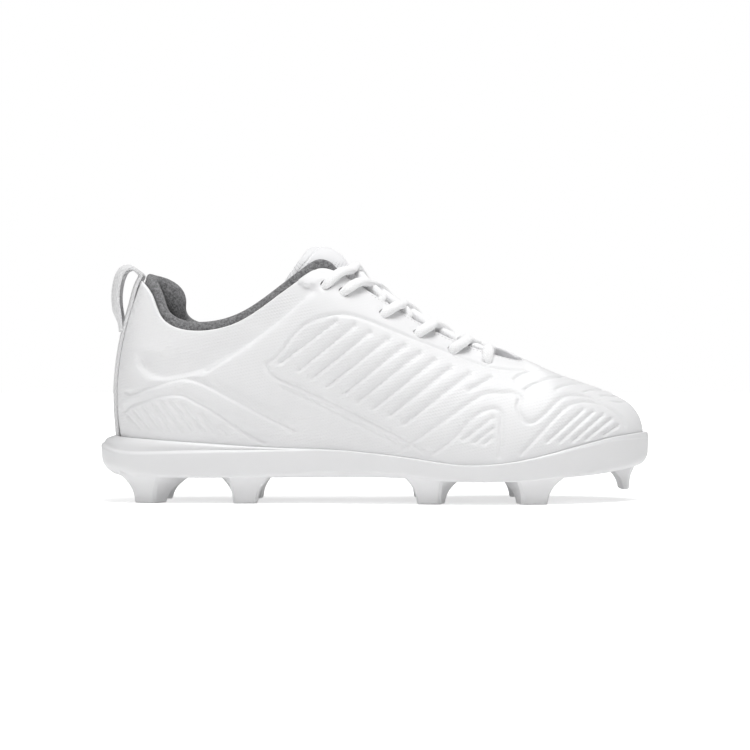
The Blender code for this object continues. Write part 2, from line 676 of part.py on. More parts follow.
def tongue_surface(last):
    """Outer face of the tongue, by section place (0 top, 1 front) and place across (-1 to 1)."""
    rows = [dict(zip(TONGUE_COLUMNS, row)) for row in TONGUE]
    values = []
    for row in rows:
        outer = last.top([last.place(row["station"], -1)])[0]
        inner = last.top([last.place(row["station"], 1)])[0]
        edge = (outer + inner) / 2
        middle = edge + np.array([row["forward"], 0, row["rise"]]) * UPPER_HEIGHT
        side = edge - np.array([-row["back"], 0, row["drop"]]) * UPPER_HEIGHT
        thick = TONGUE_FRONT_THICKNESS + (TONGUE_THICKNESS - TONGUE_FRONT_THICKNESS) * row["thick"]
        values.append((*middle, *side, row["half"] * BALL_WIDTH, thick))
    curve = natural_curve(np.linspace(0, 1, len(values)), values)

    def at(along, across):
        row = curve([along])[0]
        swing = across * math.pi / 2
        point = row[0:3] + (row[3:6] - row[0:3]) * (1 - math.cos(swing))
        point[1] = row[1] + row[6] * math.sin(swing)
        return point, row[7]

    return at


def build_tongue(last, material):
    surface = tongue_surface(last)
    rows = np.linspace(0, 1, TONGUE_ROWS)
    across = np.linspace(-1, 1, TONGUE_COLUMNS_ACROSS)
    step = TONGUE_STEP
    outside = []
    inside = []
    for along in rows:
        outer_row = []
        inner_row = []
        for side in across:
            point, thick = surface(along, side)
            ahead = surface(min(along + step, 1), side)[0] - surface(max(along - step, 0), side)[0]
            over = surface(along, min(side + step, 1))[0] - surface(along, max(side - step, -1))[0]
            normal = unit(np.cross(over, ahead))
            normal = normal if normal[2] > 0 or abs(side) > 0.9 else -normal
            short = max(0.0, 1 - along / TONGUE_END)
            round_end = math.sqrt(max(0.0, 1 - short**2 * TONGUE_END_ROUND))
            round_side = math.sqrt(max(0.0, 1 - abs(side) ** 6 * TONGUE_SIDE_ROUND))
            full = thick * round_end * round_side
            outer_row.append(point - normal * (thick - full) * 0.5)
            inner_row.append(point - normal * (thick + full) * 0.5)
        outside.append(outer_row)
        inside.append(inner_row)
    bm = bmesh.new()
    outer = [[bm.verts.new(point) for point in row] for row in outside]
    inner = [[bm.verts.new(point) for point in row] for row in inside]
    rings = [row + below[::-1] for row, below in zip(outer, inner)]
    skin(bm, [ring + ring[:1] for ring in rings], False)
    for end in (0, -1):
        for place in range(len(across) - 1):
            outer_pair = outer[end][place:place + 2]
            bm.faces.new(outer_pair + inner[end][place:place + 2][::-1])
    return make_object("tongue", bm, material)


def sweep_tube(points, radius, sides, name, material=None):
    """A round cord through a smooth curve along the given points."""
    points = np.asarray(points, float)
    along = np.concatenate([[0], np.cumsum(np.linalg.norm(np.diff(points, axis=0), axis=1))])
    curve = natural_curve(along, points)
    count = max(4, int(along[-1] / (radius * TUBE_STEP)))
    path = curve(np.linspace(0, along[-1], count + 1))
    heading = unit(np.gradient(path, axis=0))
    bm = bmesh.new()
    rings = []
    for place, ahead in zip(path, heading):
        side = unit(np.cross(ahead, (0.0, 0.0, 1.0)))
        up = np.cross(side, ahead)
        ring = []
        for index in range(sides):
            swing = 2 * math.pi * index / sides
            ring.append(bm.verts.new(place + radius * (side * math.cos(swing) + up * math.sin(swing))))
        rings.append(ring)
    skin(bm, [ring + ring[:1] for ring in rings], False)
    bm.faces.new(rings[0])
    bm.faces.new(rings[-1])
    return make_object(name, bm, material)


def over_upper(last, station, side, set_back, lift):
    place, normal = eyelet_place(last, {"station": station, "set_back": set_back}, side)
    return np.array(place + normal * lift)


def over_shoe(last, spot, lift):
    """The point above a spot in plan, lifted off the highest of the tongue and the upper near it."""
    surface = tongue_surface(last)
    faces = [surface(along, across)[0] for along in TONGUE_ALONG for across in TONGUE_ACROSS]
    knots = np.concatenate([last.place(THROAT_PLACES, side) for side in (-1, 1)])
    faces = np.concatenate([faces, last.wall(knots, THROAT_HEIGHTS).reshape(-1, 3)])
    away = np.hypot(faces[:, 0] - spot[0], faces[:, 1] - spot[1])
    return np.array([spot[0], spot[1], faces[away < LACE_RADIUS * LACE_REACH, 2].max() + lift])


def meeting(start, end, other_start, other_end):
    """Where two straight runs cross in plan."""
    run = (end - start)[:2]
    other = (other_end - other_start)[:2]
    gap = (other_start - start)[:2]
    share = (gap[0] * other[1] - gap[1] * other[0]) / (run[0] * other[1] - run[1] * other[0])
    return start[:2] + run * share


def build_laces(last, material):
    """One lace: each crossing's strands meet in its middle, and each strand meets the next crossing."""
    lift = LACE_RADIUS + LACE_CLEARANCE
    holes = [dict(zip(EYELET_COLUMNS, row)) for row in EYELETS]
    starts = []
    ends = []
    middles = []
    for hole in holes:
        back = hole["set_back"]
        starts.append([over_upper(last, hole["station"], side, back, lift) for side in (-1, 1)])
        edges = [last.top([last.place(hole["reach"], side)])[0] for side in (-1, 1)]
        inward = np.array([[0, -side * LACE_DIVE, lift * LACE_EDGE_LIFT] for side in (-1, 1)])
        ends.append(np.array(edges) + inward)
        middle = (starts[-1][0] + starts[-1][1] + ends[-1][0] + ends[-1][1]) / 4
        middles.append(over_shoe(last, middle, lift * LACE_RISE))
    shared = []
    for index in range(len(holes) - 1):
        pair = []
        for side in (0, 1):
            spot = meeting(middles[index], ends[index][side], starts[index + 1][side], middles[index + 1])
            pair.append(over_shoe(last, spot, lift * LACE_RISE))
        shared.append(pair)
    lace = None
    for index, hole in enumerate(holes):
        for side in (0, 1):
            path = [starts[index][side], middles[index]]
            if index > 0:
                path.insert(1, shared[index - 1][side])
            edge = over_shoe(last, (path[0] + (path[1] - path[0]) * LACE_ARCH_PLACE)[:2], lift * LACE_ARCH)
            path.insert(1, edge)
            if index < len(holes) - 1:
                path.append(shared[index][1 - side])
                path.append(over_shoe(last, ends[index][1 - side][:2], lift * LACE_EDGE_LIFT))
            else:
                path.append(middles[index] + (middles[index] - path[-2]) * LACE_OVERRUN)
            strand = sweep_tube(path, LACE_RADIUS, LACE_SIDES, "lace_strand", material)
            if lace is None:
                lace = strand
                lace.name = "lace"
            else:
                join_by_boolean(lace, strand, "UNION")
    return lace


def ribbon(path, name, bends, width, material=None):
    """Webbing along a path in the plane of the heel's middle, bent round the heel."""
    path = np.asarray(path, float)
    heading = unit(np.gradient(path, axis=0))
    half = WEBBING_THICKNESS * width / WEBBING_WIDTH / 2
    places = np.linspace(-0.5, 0.5, 5)
    bm = bmesh.new()
    rings = []
    for place, ahead in zip(path, heading):
        normal = np.array([ahead[1], -ahead[0]])
        shape = bends(place[1], places * width)
        ring = []
        for face in (1, -1):
            for across, bend in list(zip(places, shape))[::face]:
                x, z = place + normal * half * face
                ring.append(bm.verts.new((x + bend, across * width, z)))
        rings.append(ring)
    skin(bm, [ring + ring[:1] for ring in rings], False)
    bm.faces.new(rings[0])
    bm.faces.new(rings[-1])
    return make_object(name, bm, material)


def build_pull_loop(last, material):
    """A strip up the heel that turns over as a finger loop and comes back down behind itself."""
    around = last.wall(HEEL_PLACES, STRIP_HEIGHTS)[::-1]
    middle = around[HEEL_MIDDLE]

    def bends(z, across):
        """How far the heel falls back from its middle, at a height, for places across it."""
        level = np.array([np.interp(z, middle[:, 2], row[:, 0]) for row in around])
        spread = np.array([np.interp(z, middle[:, 2], row[:, 1]) for row in around])
        return np.interp(across, spread, level) - level[HEEL_MIDDLE]

    wall = last.wall([0.0], STRIP_HEIGHTS)[0]
    normals = last.wall_normals([0.0], STRIP_HEIGHTS)[0]
    strip = (wall + normals * (STRIP_LIFT * GAP + WEBBING_THICKNESS / 2))[:, [0, 2]]
    strip[0, 1] = max(strip[0, 1], last.rim([0.0])[0, 2] + GAP)
    top = strip[-1]
    root_z = top[1] - LOOP_SEAT * LOOP_HEIGHT
    root = np.array([np.interp(root_z, strip[:, 1], strip[:, 0]), root_z])
    seat = root - np.array([WEBBING_THICKNESS + GAP, 0])
    turned = [top + np.array(share) * LOOP_HEIGHT for share in LOOP_PATH]
    control = np.array([*strip[::2], *turned, seat])
    along = np.concatenate([[0], np.cumsum(np.linalg.norm(np.diff(control, axis=0), axis=1))])
    path = natural_curve(along, control)(np.linspace(0, along[-1], LOOP_FACES))
    loop = ribbon(path, "pull_loop", bends, WEBBING_WIDTH, material)
    seam = natural_curve([0, 1, 2], [path[-2], seat, root - np.array([0, WEBBING_THICKNESS])])
    stitched = ribbon(seam(np.linspace(0, 2, 5)), "seam_blank", bends, WEBBING_WIDTH * SEAM_SHARE)
    join_by_boolean(loop, stitched, "UNION")
    return loop


def centre_on_origin():
    """Puts the middle of the whole shoe's width on y = 0 and of its length on x = 0."""
    spans = []
    for obj in bpy.context.scene.collection.objects:
        spans += [obj.matrix_world @ vert.co for vert in obj.data.vertices]
    middle_x = (max(point.x for point in spans) + min(point.x for point in spans)) / 2
    middle_y = (max(point.y for point in spans) + min(point.y for point in spans)) / 2
    for obj in bpy.context.scene.collection.objects:
        obj.data.transform(obj.matrix_world)
        obj.matrix_world.identity()
        for vert in obj.data.vertices:
            vert.co.x -= middle_x
            vert.co.y -= middle_y


def main():
    clear_scene()
    white = finish_material("white_synthetic", (0.86, 0.86, 0.87), 0.5)
    sole_white = finish_material("white_sole", (0.84, 0.84, 0.85), 0.42)
    mesh_white = finish_material("white_knit", (0.82, 0.82, 0.83), 0.8)
    grey = finish_material("grey_knit", (0.20, 0.20, 0.205), 0.9)
    dark = finish_material("dark_liner", (0.11, 0.11, 0.115), 0.9)
    cord = finish_material("white_cord", (0.80, 0.80, 0.81), 0.75)
    last = Last()
    build_outsole(last, sole_white)
    build_upper(last, white)
    build_insole(last, dark)
    build_lining(last, grey)
    build_tongue(last, mesh_white)
    build_laces(last, cord)
    build_pull_loop(last, cord)
    centre_on_origin()


main()
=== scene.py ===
import math

import bmesh
import bpy
import numpy as np
from mathutils import Matrix, Vector


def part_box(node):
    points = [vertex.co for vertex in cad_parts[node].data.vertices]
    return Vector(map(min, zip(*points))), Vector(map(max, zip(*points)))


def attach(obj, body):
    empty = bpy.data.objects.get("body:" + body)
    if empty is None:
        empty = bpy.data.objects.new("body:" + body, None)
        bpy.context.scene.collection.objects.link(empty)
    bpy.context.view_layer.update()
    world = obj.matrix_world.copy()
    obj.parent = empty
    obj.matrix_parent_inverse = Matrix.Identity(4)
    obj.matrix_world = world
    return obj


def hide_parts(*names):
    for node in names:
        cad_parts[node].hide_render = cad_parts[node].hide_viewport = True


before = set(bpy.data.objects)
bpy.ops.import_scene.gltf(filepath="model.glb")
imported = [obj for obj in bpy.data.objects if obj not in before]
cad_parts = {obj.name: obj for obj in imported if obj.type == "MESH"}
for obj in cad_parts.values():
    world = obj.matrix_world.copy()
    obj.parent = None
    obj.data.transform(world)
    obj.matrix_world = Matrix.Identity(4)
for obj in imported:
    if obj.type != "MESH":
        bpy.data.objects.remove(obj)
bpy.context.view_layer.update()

# the shoe's form, with the solid part's sizes and stations, in metres
form = {
    "length": 0.2450, "width": 0.0890, "studHeight": 0.0115, "sideHeight": 0.0177,
    "upperHeight": 0.0870, "wall": 0.0020, "gap": 0.0003, "tuck": 0.0020, "corner": 0.0030,
    "margin": 0.0080, "throatEnd": 16, "ridgeShift": 0.056, "ridgeRun": 0.45,
    "liningThick": 0.0048, "liningDepth": 0.0200,
    "tongueThick": 0.0046, "tongueFront": 0.0022, "rimLip": 0.0022,
}

# x, outer, inner, rim, topX, topHalf, topZ, turn, fall, lean, low, high from heel to toe
stationRows = (
    (0.035, 0.000, 0.000, 1.000, 0.072, 0.000, 1.000, -90, 70, 9, 0.33, 0.38),
    (0.049, 0.140, 0.140, 0.980, 0.081, 0.096, 0.978, -55, 71, 9, 0.33, 0.38),
    (0.080, 0.236, 0.234, 0.955, 0.098, 0.163, 0.915, -32, 73, 9, 0.34, 0.38),
    (0.124, 0.294, 0.290, 0.910, 0.117, 0.226, 0.806, -14, 76, 9, 0.36, 0.38),
    (0.186, 0.315, 0.306, 0.853, 0.157, 0.274, 0.744, -4, 80, 8, 0.38, 0.38),
    (0.255, 0.319, 0.299, 0.785, 0.212, 0.297, 0.744, 0, 80, 8, 0.38, 0.38),
    (0.324, 0.324, 0.281, 0.734, 0.267, 0.304, 0.799, 0, 78, 7, 0.37, 0.36),
    (0.386, 0.333, 0.270, 0.706, 0.322, 0.298, 0.908, 0, 72, 6, 0.35, 0.32),
    (0.443, 0.348, 0.272, 0.672, 0.366, 0.273, 1.001, 0, 62, 6, 0.33, 0.29),
    (0.496, 0.369, 0.290, 0.605, 0.409, 0.228, 1.054, 0, 48, 5, 0.31, 0.27),
    (0.545, 0.393, 0.321, 0.525, 0.467, 0.192, 0.978, 0, 39, 5, 0.30, 0.26),
    (0.598, 0.425, 0.364, 0.424, 0.537, 0.182, 0.853, 0, 35, 4, 0.30, 0.26),
    (0.655, 0.452, 0.416, 0.330, 0.610, 0.169, 0.735, 0, 33, 4, 0.31, 0.28),
    (0.712, 0.461, 0.454, 0.356, 0.676, 0.147, 0.656, 0, 29, 3, 0.33, 0.31),
    (0.761, 0.449, 0.463, 0.458, 0.732, 0.113, 0.606, 2, 22, 3, 0.35, 0.34),
    (0.806, 0.422, 0.452, 0.605, 0.764, 0.066, 0.588, 4, 12, 2, 0.36, 0.38),
    (0.847, 0.380, 0.427, 0.751, 0.774, 0.000, 0.590, 7, 3, 1, 0.37, 0.41),
    (0.884, 0.326, 0.389, 0.876, 0.811, 0.000, 0.541, 14, 5, 0, 0.37, 0.42),
    (0.916, 0.256, 0.339, 0.977, 0.853, 0.000, 0.497, 26, 9, 0, 0.36, 0.42),
    (0.945, 0.175, 0.276, 1.034, 0.894, 0.000, 0.457, 42, 14, -1, 0.36, 0.40),
    (0.970, 0.079, 0.198, 1.073, 0.926, 0.000, 0.424, 60, 20, -1, 0.36, 0.37),
    (0.985, 0.002, 0.124, 1.088, 0.945, 0.000, 0.399, 76, 26, -2, 0.36, 0.35),
    (0.989, -0.056, 0.056, 1.090, 0.953, 0.000, 0.387, 90, 29, -2, 0.36, 0.34),
)

# station, bed, ledge, ledgeOut, crease, footIn, plate
cupRows = (
    (0, 0.46, 0.22, 0.0345, 0.34, 0.0360, 0.98),
    (1.6, 0.45, 0.38, 0.0270, 0.24, 0.0220, 0.98),
    (3, 0.44, 0.32, 0.0205, 0.18, 0.0130, 0.98),
    (5, 0.36, 0.15, 0.0185, 0.18, 0.0120, 0.98),
    (7, 0.28, 0.05, 0.0160, 0.14, 0.0150, 1.00),
    (10, 0.24, 0.04, 0.0150, 0.12, 0.0150, 0.98),
    (12, 0.22, 0.04, 0.0145, 0.09, 0.0100, 0.87),
    (14, 0.24, 0.05, 0.0140, 0.12, 0.0100, 0.90),
    (16, 0.30, 0.07, 0.0130, 0.20, 0.0120, 1.02),
    (18, 0.40, 0.10, 0.0120, 0.24, 0.0150, 1.14),
    (20, 0.46, 0.16, 0.0110, 0.24, 0.0210, 1.28),
    (22, 0.48, 0.20, 0.0105, 0.25, 0.0260, 1.36),
)

# station, forward, rise, back, drop, half, thick
tongueRows = (
    (7.3, 0.112, 0.224, -0.090, 0.070, 0.172, 0.80),
    (7.8, 0.132, 0.178, -0.075, 0.070, 0.172, 1.00),
    (8.5, 0.105, 0.108, -0.035, 0.090, 0.165, 1.00),
    (9.2, 0.070, 0.050, -0.010, 0.120, 0.168, 1.00),
    (10.0, 0.018, 0.012, 0.000, 0.150, 0.200, 0.95),
    (11.0, 0.006, 0.006, 0.000, 0.150, 0.232, 0.85),
    (12.0, 0.000, -0.002, 0.000, 0.150, 0.228, 0.72),
    (13.0, 0.000, -0.014, 0.000, 0.140, 0.214, 0.60),
    (14.0, 0.000, -0.026, 0.000, 0.120, 0.190, 0.50),
    (15.0, 0.000, -0.040, 0.000, 0.095, 0.160, 0.42),
    (16.0, 0.015, -0.060, 0.000, 0.085, 0.135, 0.36),
)

# lace holes: station, distance from the throat's edge, station where the strand dives
eyeletRows = (
    (8.98, 0.0095, 10.80), (9.56, 0.0105, 11.45), (10.66, 0.0092, 11.95),
    (11.50, 0.0088, 12.75), (12.38, 0.0085, 13.60), (13.36, 0.0080, 13.36),
)


def unit(vectors):
    return vectors / np.maximum(np.linalg.norm(vectors, axis=-1, keepdims=True), 1e-12)


def smoothStep(value):
    value = np.clip(value, 0, 1)
    return value * value * (3 - 2 * value)


def bell(value, middle, spread):
    return np.exp(-((value - middle) / spread) ** 2)


def runOf(points):
    # distance along a row of points
    return np.concatenate([[0], np.cumsum(np.linalg.norm(np.diff(points, axis=0), axis=1))])


def runDown(walls):
    # distance down each column of a wall from its top row
    steps = np.linalg.norm(np.diff(walls, axis=1), axis=2)
    return np.concatenate([np.zeros((len(walls), 1)), np.cumsum(steps, axis=1)], axis=1)


def spotAt(where, run, points):
    # place at a distance along a row of points
    return np.stack([np.interp(where, run, points[:, axis]) for axis in range(points.shape[1])], axis=-1)


def plane(first, second):
    return np.stack(np.meshgrid(first, second, indexing="ij"), axis=-1)


def naturalCurve(knots, values):
    # smooth curve through rows of values at rising knots
    knots = np.asarray(knots, float)
    values = np.asarray(values, float)
    count = len(knots)
    step = np.diff(knots)
    matrix = np.eye(count)
    right = np.zeros_like(values)
    for row in range(1, count - 1):
        matrix[row, row - 1:row + 2] = step[row - 1], 2 * (step[row - 1] + step[row]), step[row]
        rise = (values[row + 1] - values[row]) / step[row]
        right[row] = 6 * (rise - (values[row] - values[row - 1]) / step[row - 1])
    bend = np.linalg.solve(matrix, right)

    def at(where):
        where = np.atleast_1d(np.asarray(where, float))
        low = np.clip(np.searchsorted(knots, where) - 1, 0, count - 2)
        width = step[low][:, None]
        ahead = (where - knots[low])[:, None]
        left = width - ahead
        curve = (bend[low] * left**3 + bend[low + 1] * ahead**3) / (6 * width)
        curve += (values[low] / width - bend[low] * width / 6) * left
        curve += (values[low + 1] / width - bend[low + 1] * width / 6) * ahead
        return curve

    return at


def closedCurve(values):
    # smooth closed curve through rows of values at whole knots
    values = np.asarray(values, float)
    count = len(values)
    turns = np.eye(count) * 4 + np.roll(np.eye(count), 1, axis=1) + np.roll(np.eye(count), -1, axis=1)
    second = np.roll(values, -1, axis=0) - 2 * values + np.roll(values, 1, axis=0)
    bend = np.linalg.solve(turns, 6 * second)

    def at(where):
        where = np.atleast_1d(np.asarray(where, float)) % count
        low = np.floor(where).astype(int) % count
        high = (low + 1) % count
        ahead = (where - np.floor(where))[:, None]
        left = 1 - ahead
        curve = values[low] * left + values[high] * ahead
        return curve + (bend[low] * (left**3 - left) + bend[high] * (ahead**3 - ahead)) / 6

    return at


class ShoeForm:
    # the upper's outer face by the place around the shoe (knot) and the height (0 rim, 1 top)
    def __init__(self):
        last = len(stationRows) - 1
        around = [self.knotRow(row, -1) for row in stationRows]
        around += [self.knotRow(stationRows[index], 1) for index in range(last - 1, 0, -1)]
        self.curve = closedCurve(around)
        self.count = len(around)
        cup = np.array(cupRows)
        self.cup = naturalCurve(cup[:, 0], cup[:, 1:])
        self.shift = np.zeros(3)
        edge = self.cupSection(np.arange(self.count * 2) / 2)[6]
        low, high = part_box("outsole")
        middle = (edge.min(0) + edge.max(0)) / 2
        self.shift = np.array([(low.x + high.x) / 2 - middle[0], (low.y + high.y) / 2 - middle[1], 0])

    def knotRow(self, row, side):
        x, outer, inner, rim, topX, topHalf, topZ, turn, fall, lean, low, high = row
        swing = math.radians(turn)
        ridge = form["ridgeShift"] * min(1.0, max(0.0, (topX - 0.5) / form["ridgeRun"]))
        return (
            (x - 0.5) * form["length"], side * (outer if side < 0 else inner) * form["width"],
            form["studHeight"] + rim * form["sideHeight"], (topX - 0.5) * form["length"],
            (ridge + side * topHalf) * form["width"], form["studHeight"] + topZ * form["upperHeight"],
            math.sin(swing), side * math.cos(swing), fall, lean, low, high,
        )

    def place(self, station, side):
        return np.asarray(station, float) if side < 0 else self.count - np.asarray(station, float)

    def station(self, knots):
        knots = np.asarray(knots, float) % self.count
        return np.minimum(knots, self.count - knots)

    def ridge(self, x):
        along = np.clip((x / form["length"]) / form["ridgeRun"], 0, 1)
        return form["ridgeShift"] * form["width"] * along

    def rim(self, knots):
        return self.curve(knots)[:, 0:3] + self.shift

    def top(self, knots):
        top = self.curve(knots)[:, 3:6].copy()
        over = self.station(knots) >= form["throatEnd"] - 1e-6
        ridge = self.ridge(top[:, 0])
        side = np.where(np.asarray(knots) % self.count <= self.count / 2, -1, 1)
        half = np.maximum((top[:, 1] - ridge) * side, 0)
        top[:, 1] = np.where(over, ridge, ridge + side * half)
        return top + self.shift

    def outward(self, knots):
        ahead = self.rim(np.asarray(knots) + 0.01) - self.rim(np.asarray(knots) - 0.01)
        return unit(np.stack([ahead[:, 1], -ahead[:, 0], np.zeros(len(ahead))], axis=1))

    def wall(self, knots, heights):
        row = self.curve(knots)
        rim = self.rim(knots)
        top = self.top(knots)
        span = np.linalg.norm(top - rim, axis=1, keepdims=True)
        lean = np.radians(row[:, 9:10])
        up = np.array([[0.0, 0.0, 1.0]])
        start = rim + row[:, 10:11] * span * (self.outward(knots) * np.sin(lean) + up * np.cos(lean))
        aim = unit(np.concatenate([row[:, 6:8], np.zeros((len(row), 1))], axis=1))
        fall = np.radians(row[:, 8:9])
        end = top + row[:, 11:12] * span * (aim * np.cos(fall) - up * np.sin(fall))
        h = np.asarray(heights, float)[None, :, None]
        return (rim[:, None] * (1 - h) ** 3 + start[:, None] * 3 * h * (1 - h) ** 2
                + end[:, None] * 3 * h**2 * (1 - h) + top[:, None] * h**3)

    def wallNormals(self, knots, heights):
        knots = np.asarray(knots, float)
        heights = np.minimum(np.asarray(heights, float), 0.985)
        around = self.wall(knots + 0.02, heights) - self.wall(knots - 0.02, heights)
        rise = self.wall(knots, heights + 0.01) - self.wall(knots, np.maximum(heights - 0.01, 0))
        return unit(np.cross(around, rise))

    def bed(self, knots):
        return self.rim(knots)[:, 2] - self.cup(self.station(knots))[:, 0] * form["sideHeight"]

    def foot(self, knots, inward):
        # the edge that turns under the foot
        rim = self.rim(knots)
        out = self.outward(knots)
        bed = self.bed(knots) + form["gap"] + inward
        radius = form["corner"] - inward
        corner = -form["tuck"] - form["corner"]
        turned = [(corner - form["margin"], 0.0), (corner, 0.0)]
        for angle in (50, 90):
            swing = math.radians(angle)
            turned.append((corner + radius * math.sin(swing), radius * (1 - math.cos(swing))))
        rows = [np.concatenate([rim[:, :2] + out[:, :2] * side, (bed + height)[:, None]], axis=1)
                for side, height in turned]
        return np.stack(rows, axis=1)

    def cupSection(self, knots):
        # rings of the sole from the bed over the rim to the plate
        rim = self.rim(knots)
        out = self.outward(knots)
        bed, ledge, ledgeOut, crease, footIn, plate = self.cup(self.station(knots)).T
        side = form["sideHeight"]
        top = rim[:, 2]
        plateZ = plate * form["studHeight"]
        edge = ledgeOut * form["length"]
        foot = edge - footIn * form["length"]
        zero = np.zeros(len(knots))
        corner = zero - form["tuck"] - form["corner"]
        bedZ = top - bed * side
        radius = form["corner"] + form["gap"]
        sections = [(corner - 0.9 * form["margin"], bedZ), (corner, bedZ)]
        for angle in (50, 90):
            swing = math.radians(angle)
            sections.append((corner + radius * math.sin(swing), bedZ + radius * (1 - math.cos(swing))))
        sections += [
            (zero + form["gap"], top - form["gap"]),
            (form["gap"] + np.minimum(form["rimLip"], edge * 0.7), top),
            (edge, top - ledge * side),
            (edge - 0.0010, plateZ + crease * side),
            (foot, plateZ),
            (foot - form["margin"], plateZ),
        ]
        return np.stack([np.concatenate([rim[:, :2] + out[:, :2] * step[:, None], level[:, None]], axis=1)
                         for step, level in sections])


def tongueFace(shoe):
    # outer face of the tongue by place along (0 top, 1 front) and across (-1 to 1)
    values = []
    for station, forward, rise, back, drop, half, thick in tongueRows:
        edge = (shoe.top([shoe.place(station, -1)])[0] + shoe.top([shoe.place(station, 1)])[0]) / 2
        middle = edge + np.array([forward, 0, rise]) * form["upperHeight"]
        side = edge - np.array([-back, 0, drop]) * form["upperHeight"]
        full = form["tongueFront"] + (form["tongueThick"] - form["tongueFront"]) * thick
        values.append((*middle, *side, half * form["width"], full))
    curve = naturalCurve(np.linspace(0, 1, len(values)), values)

    def at(along, across):
        row = curve(np.ravel(along))
        swing = np.ravel(across) * math.pi / 2
        point = row[:, 0:3] + (row[:, 3:6] - row[:, 0:3]) * (1 - np.cos(swing))[:, None]
        point[:, 1] = row[:, 1] + row[:, 6] * np.sin(swing)
        return point, row[:, 7]

    return at


shoe = ShoeForm()
tongueAt = tongueFace(shoe)
print("form ready, shift", shoe.shift.round(5))


def meshOf(name, bm):
    mesh = bpy.data.meshes.new(name)
    bm.to_mesh(mesh)
    bm.free()
    return mesh


def addObject(name, data):
    added = bpy.data.objects.new(name, data)
    bpy.context.scene.collection.objects.link(added)
    return added


def setAttribute(mesh, name, values):
    # values gives one number for each vertex from its place
    places = np.empty(len(mesh.vertices) * 3)
    mesh.vertices.foreach_get("co", places)
    layer = mesh.attributes.new(name, "FLOAT", "POINT")
    layer.data.foreach_set("value", values(places.reshape(-1, 3)).astype(np.float32))


def gridMesh(name, columns, rows, points, uv=None, drop=None, materialRows=None, merge=1e-6):
    # a grid whose points are moved to their places, then its doubles merged and loose points dropped
    bm = bmesh.new()
    bmesh.ops.create_grid(bm, x_segments=columns, y_segments=rows, size=0.5)
    mesh = meshOf(name, bm)
    flat = np.empty(len(mesh.vertices) * 3)
    mesh.vertices.foreach_get("co", flat)
    flat = flat.reshape(-1, 3)
    column = np.rint((flat[:, 0] + 0.5) * columns).astype(int)
    row = np.rint((flat[:, 1] + 0.5) * rows).astype(int)
    mesh.vertices.foreach_set("co", points[column, row].astype(np.float32).ravel())
    loops = np.empty(len(mesh.loops), int)
    mesh.loops.foreach_get("vertex_index", loops)
    if uv is not None:
        layer = mesh.uv_layers.new(name="UVMap")
        layer.data.foreach_set("uv", uv[column[loops], row[loops]].astype(np.float32).ravel())
    faceRow = row[loops].reshape(-1, 4).min(axis=1)
    faceColumn = column[loops].reshape(-1, 4).min(axis=1)
    if materialRows is not None:
        mesh.polygons.foreach_set("material_index", materialRows(faceColumn, faceRow).astype(int))
    bm = bmesh.new()
    bm.from_mesh(mesh)
    if drop is not None:
        bm.faces.ensure_lookup_table()
        gone = [bm.faces[index] for index in np.flatnonzero(drop(faceColumn, faceRow))]
        bmesh.ops.delete(bm, geom=gone, context="FACES")
    bmesh.ops.remove_doubles(bm, verts=bm.verts, dist=merge)
    loose = [vert for vert in bm.verts if not vert.link_faces]
    bmesh.ops.delete(bm, geom=loose, context="VERTS")
    bmesh.ops.recalc_face_normals(bm, faces=bm.faces)
    bm.to_mesh(mesh)
    bm.free()
    mesh.shade_smooth()
    return mesh


def addPiece(name, mesh, materials, replaced=()):
    piece = addObject(name, mesh)
    for material in materials:
        mesh.materials.append(material)
    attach(piece, "root")
    if replaced:
        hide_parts(*replaced)
    return piece


def useBoolean(piece, tool, operation):
    change = piece.modifiers.new("Join", "BOOLEAN")
    change.operation = operation
    change.solver = "EXACT"
    change.object = tool
    bpy.context.view_layer.update()
    graph = bpy.context.evaluated_depsgraph_get()
    mesh = bpy.data.meshes.new_from_object(piece.evaluated_get(graph))
    piece.modifiers.clear()
    old = piece.data
    piece.data = mesh
    mesh.name = old.name
    bpy.data.meshes.remove(old)
    bpy.data.objects.remove(tool, do_unlink=True)


def addNode(tree, kind, **values):
    node = tree.nodes.new(kind)
    for key, value in values.items():
        setattr(node, key, value)
    return node


def startMaterial(name, color, roughness, specular=0.5, sheen=0.0):
    material = bpy.data.materials.new(name)
    material.use_nodes = True
    tree = material.node_tree
    shader = tree.nodes["Principled BSDF"]
    shader.inputs["Base Color"].default_value = (*color, 1)
    shader.inputs["Roughness"].default_value = roughness
    shader.inputs["Specular IOR Level"].default_value = specular
    shader.inputs["Sheen Weight"].default_value = sheen
    shader.inputs["Sheen Roughness"].default_value = 0.5
    return material, tree, shader


def coords(tree, output, rotation=(0, 0, 0)):
    source = addNode(tree, "ShaderNodeTexCoord")
    mapping = addNode(tree, "ShaderNodeMapping")
    mapping.inputs["Rotation"].default_value = [math.radians(angle) for angle in rotation]
    tree.links.new(source.outputs[output], mapping.inputs["Vector"])
    return mapping.outputs["Vector"]


def noise(tree, vector, scale, detail=3, roughness=0.5):
    node = addNode(tree, "ShaderNodeTexNoise")
    node.inputs["Scale"].default_value = scale
    node.inputs["Detail"].default_value = detail
    node.inputs["Roughness"].default_value = roughness
    tree.links.new(vector, node.inputs["Vector"])
    return node.outputs["Fac"]


def wave(tree, vector, wavelength, direction, distortion=0.0, detailScale=1.0):
    node = addNode(tree, "ShaderNodeTexWave", bands_direction=direction)
    node.inputs["Scale"].default_value = 2 * math.pi / (20 * wavelength)
    node.inputs["Distortion"].default_value = distortion
    node.inputs["Detail Scale"].default_value = detailScale
    tree.links.new(vector, node.inputs["Vector"])
    return node.outputs["Fac"]


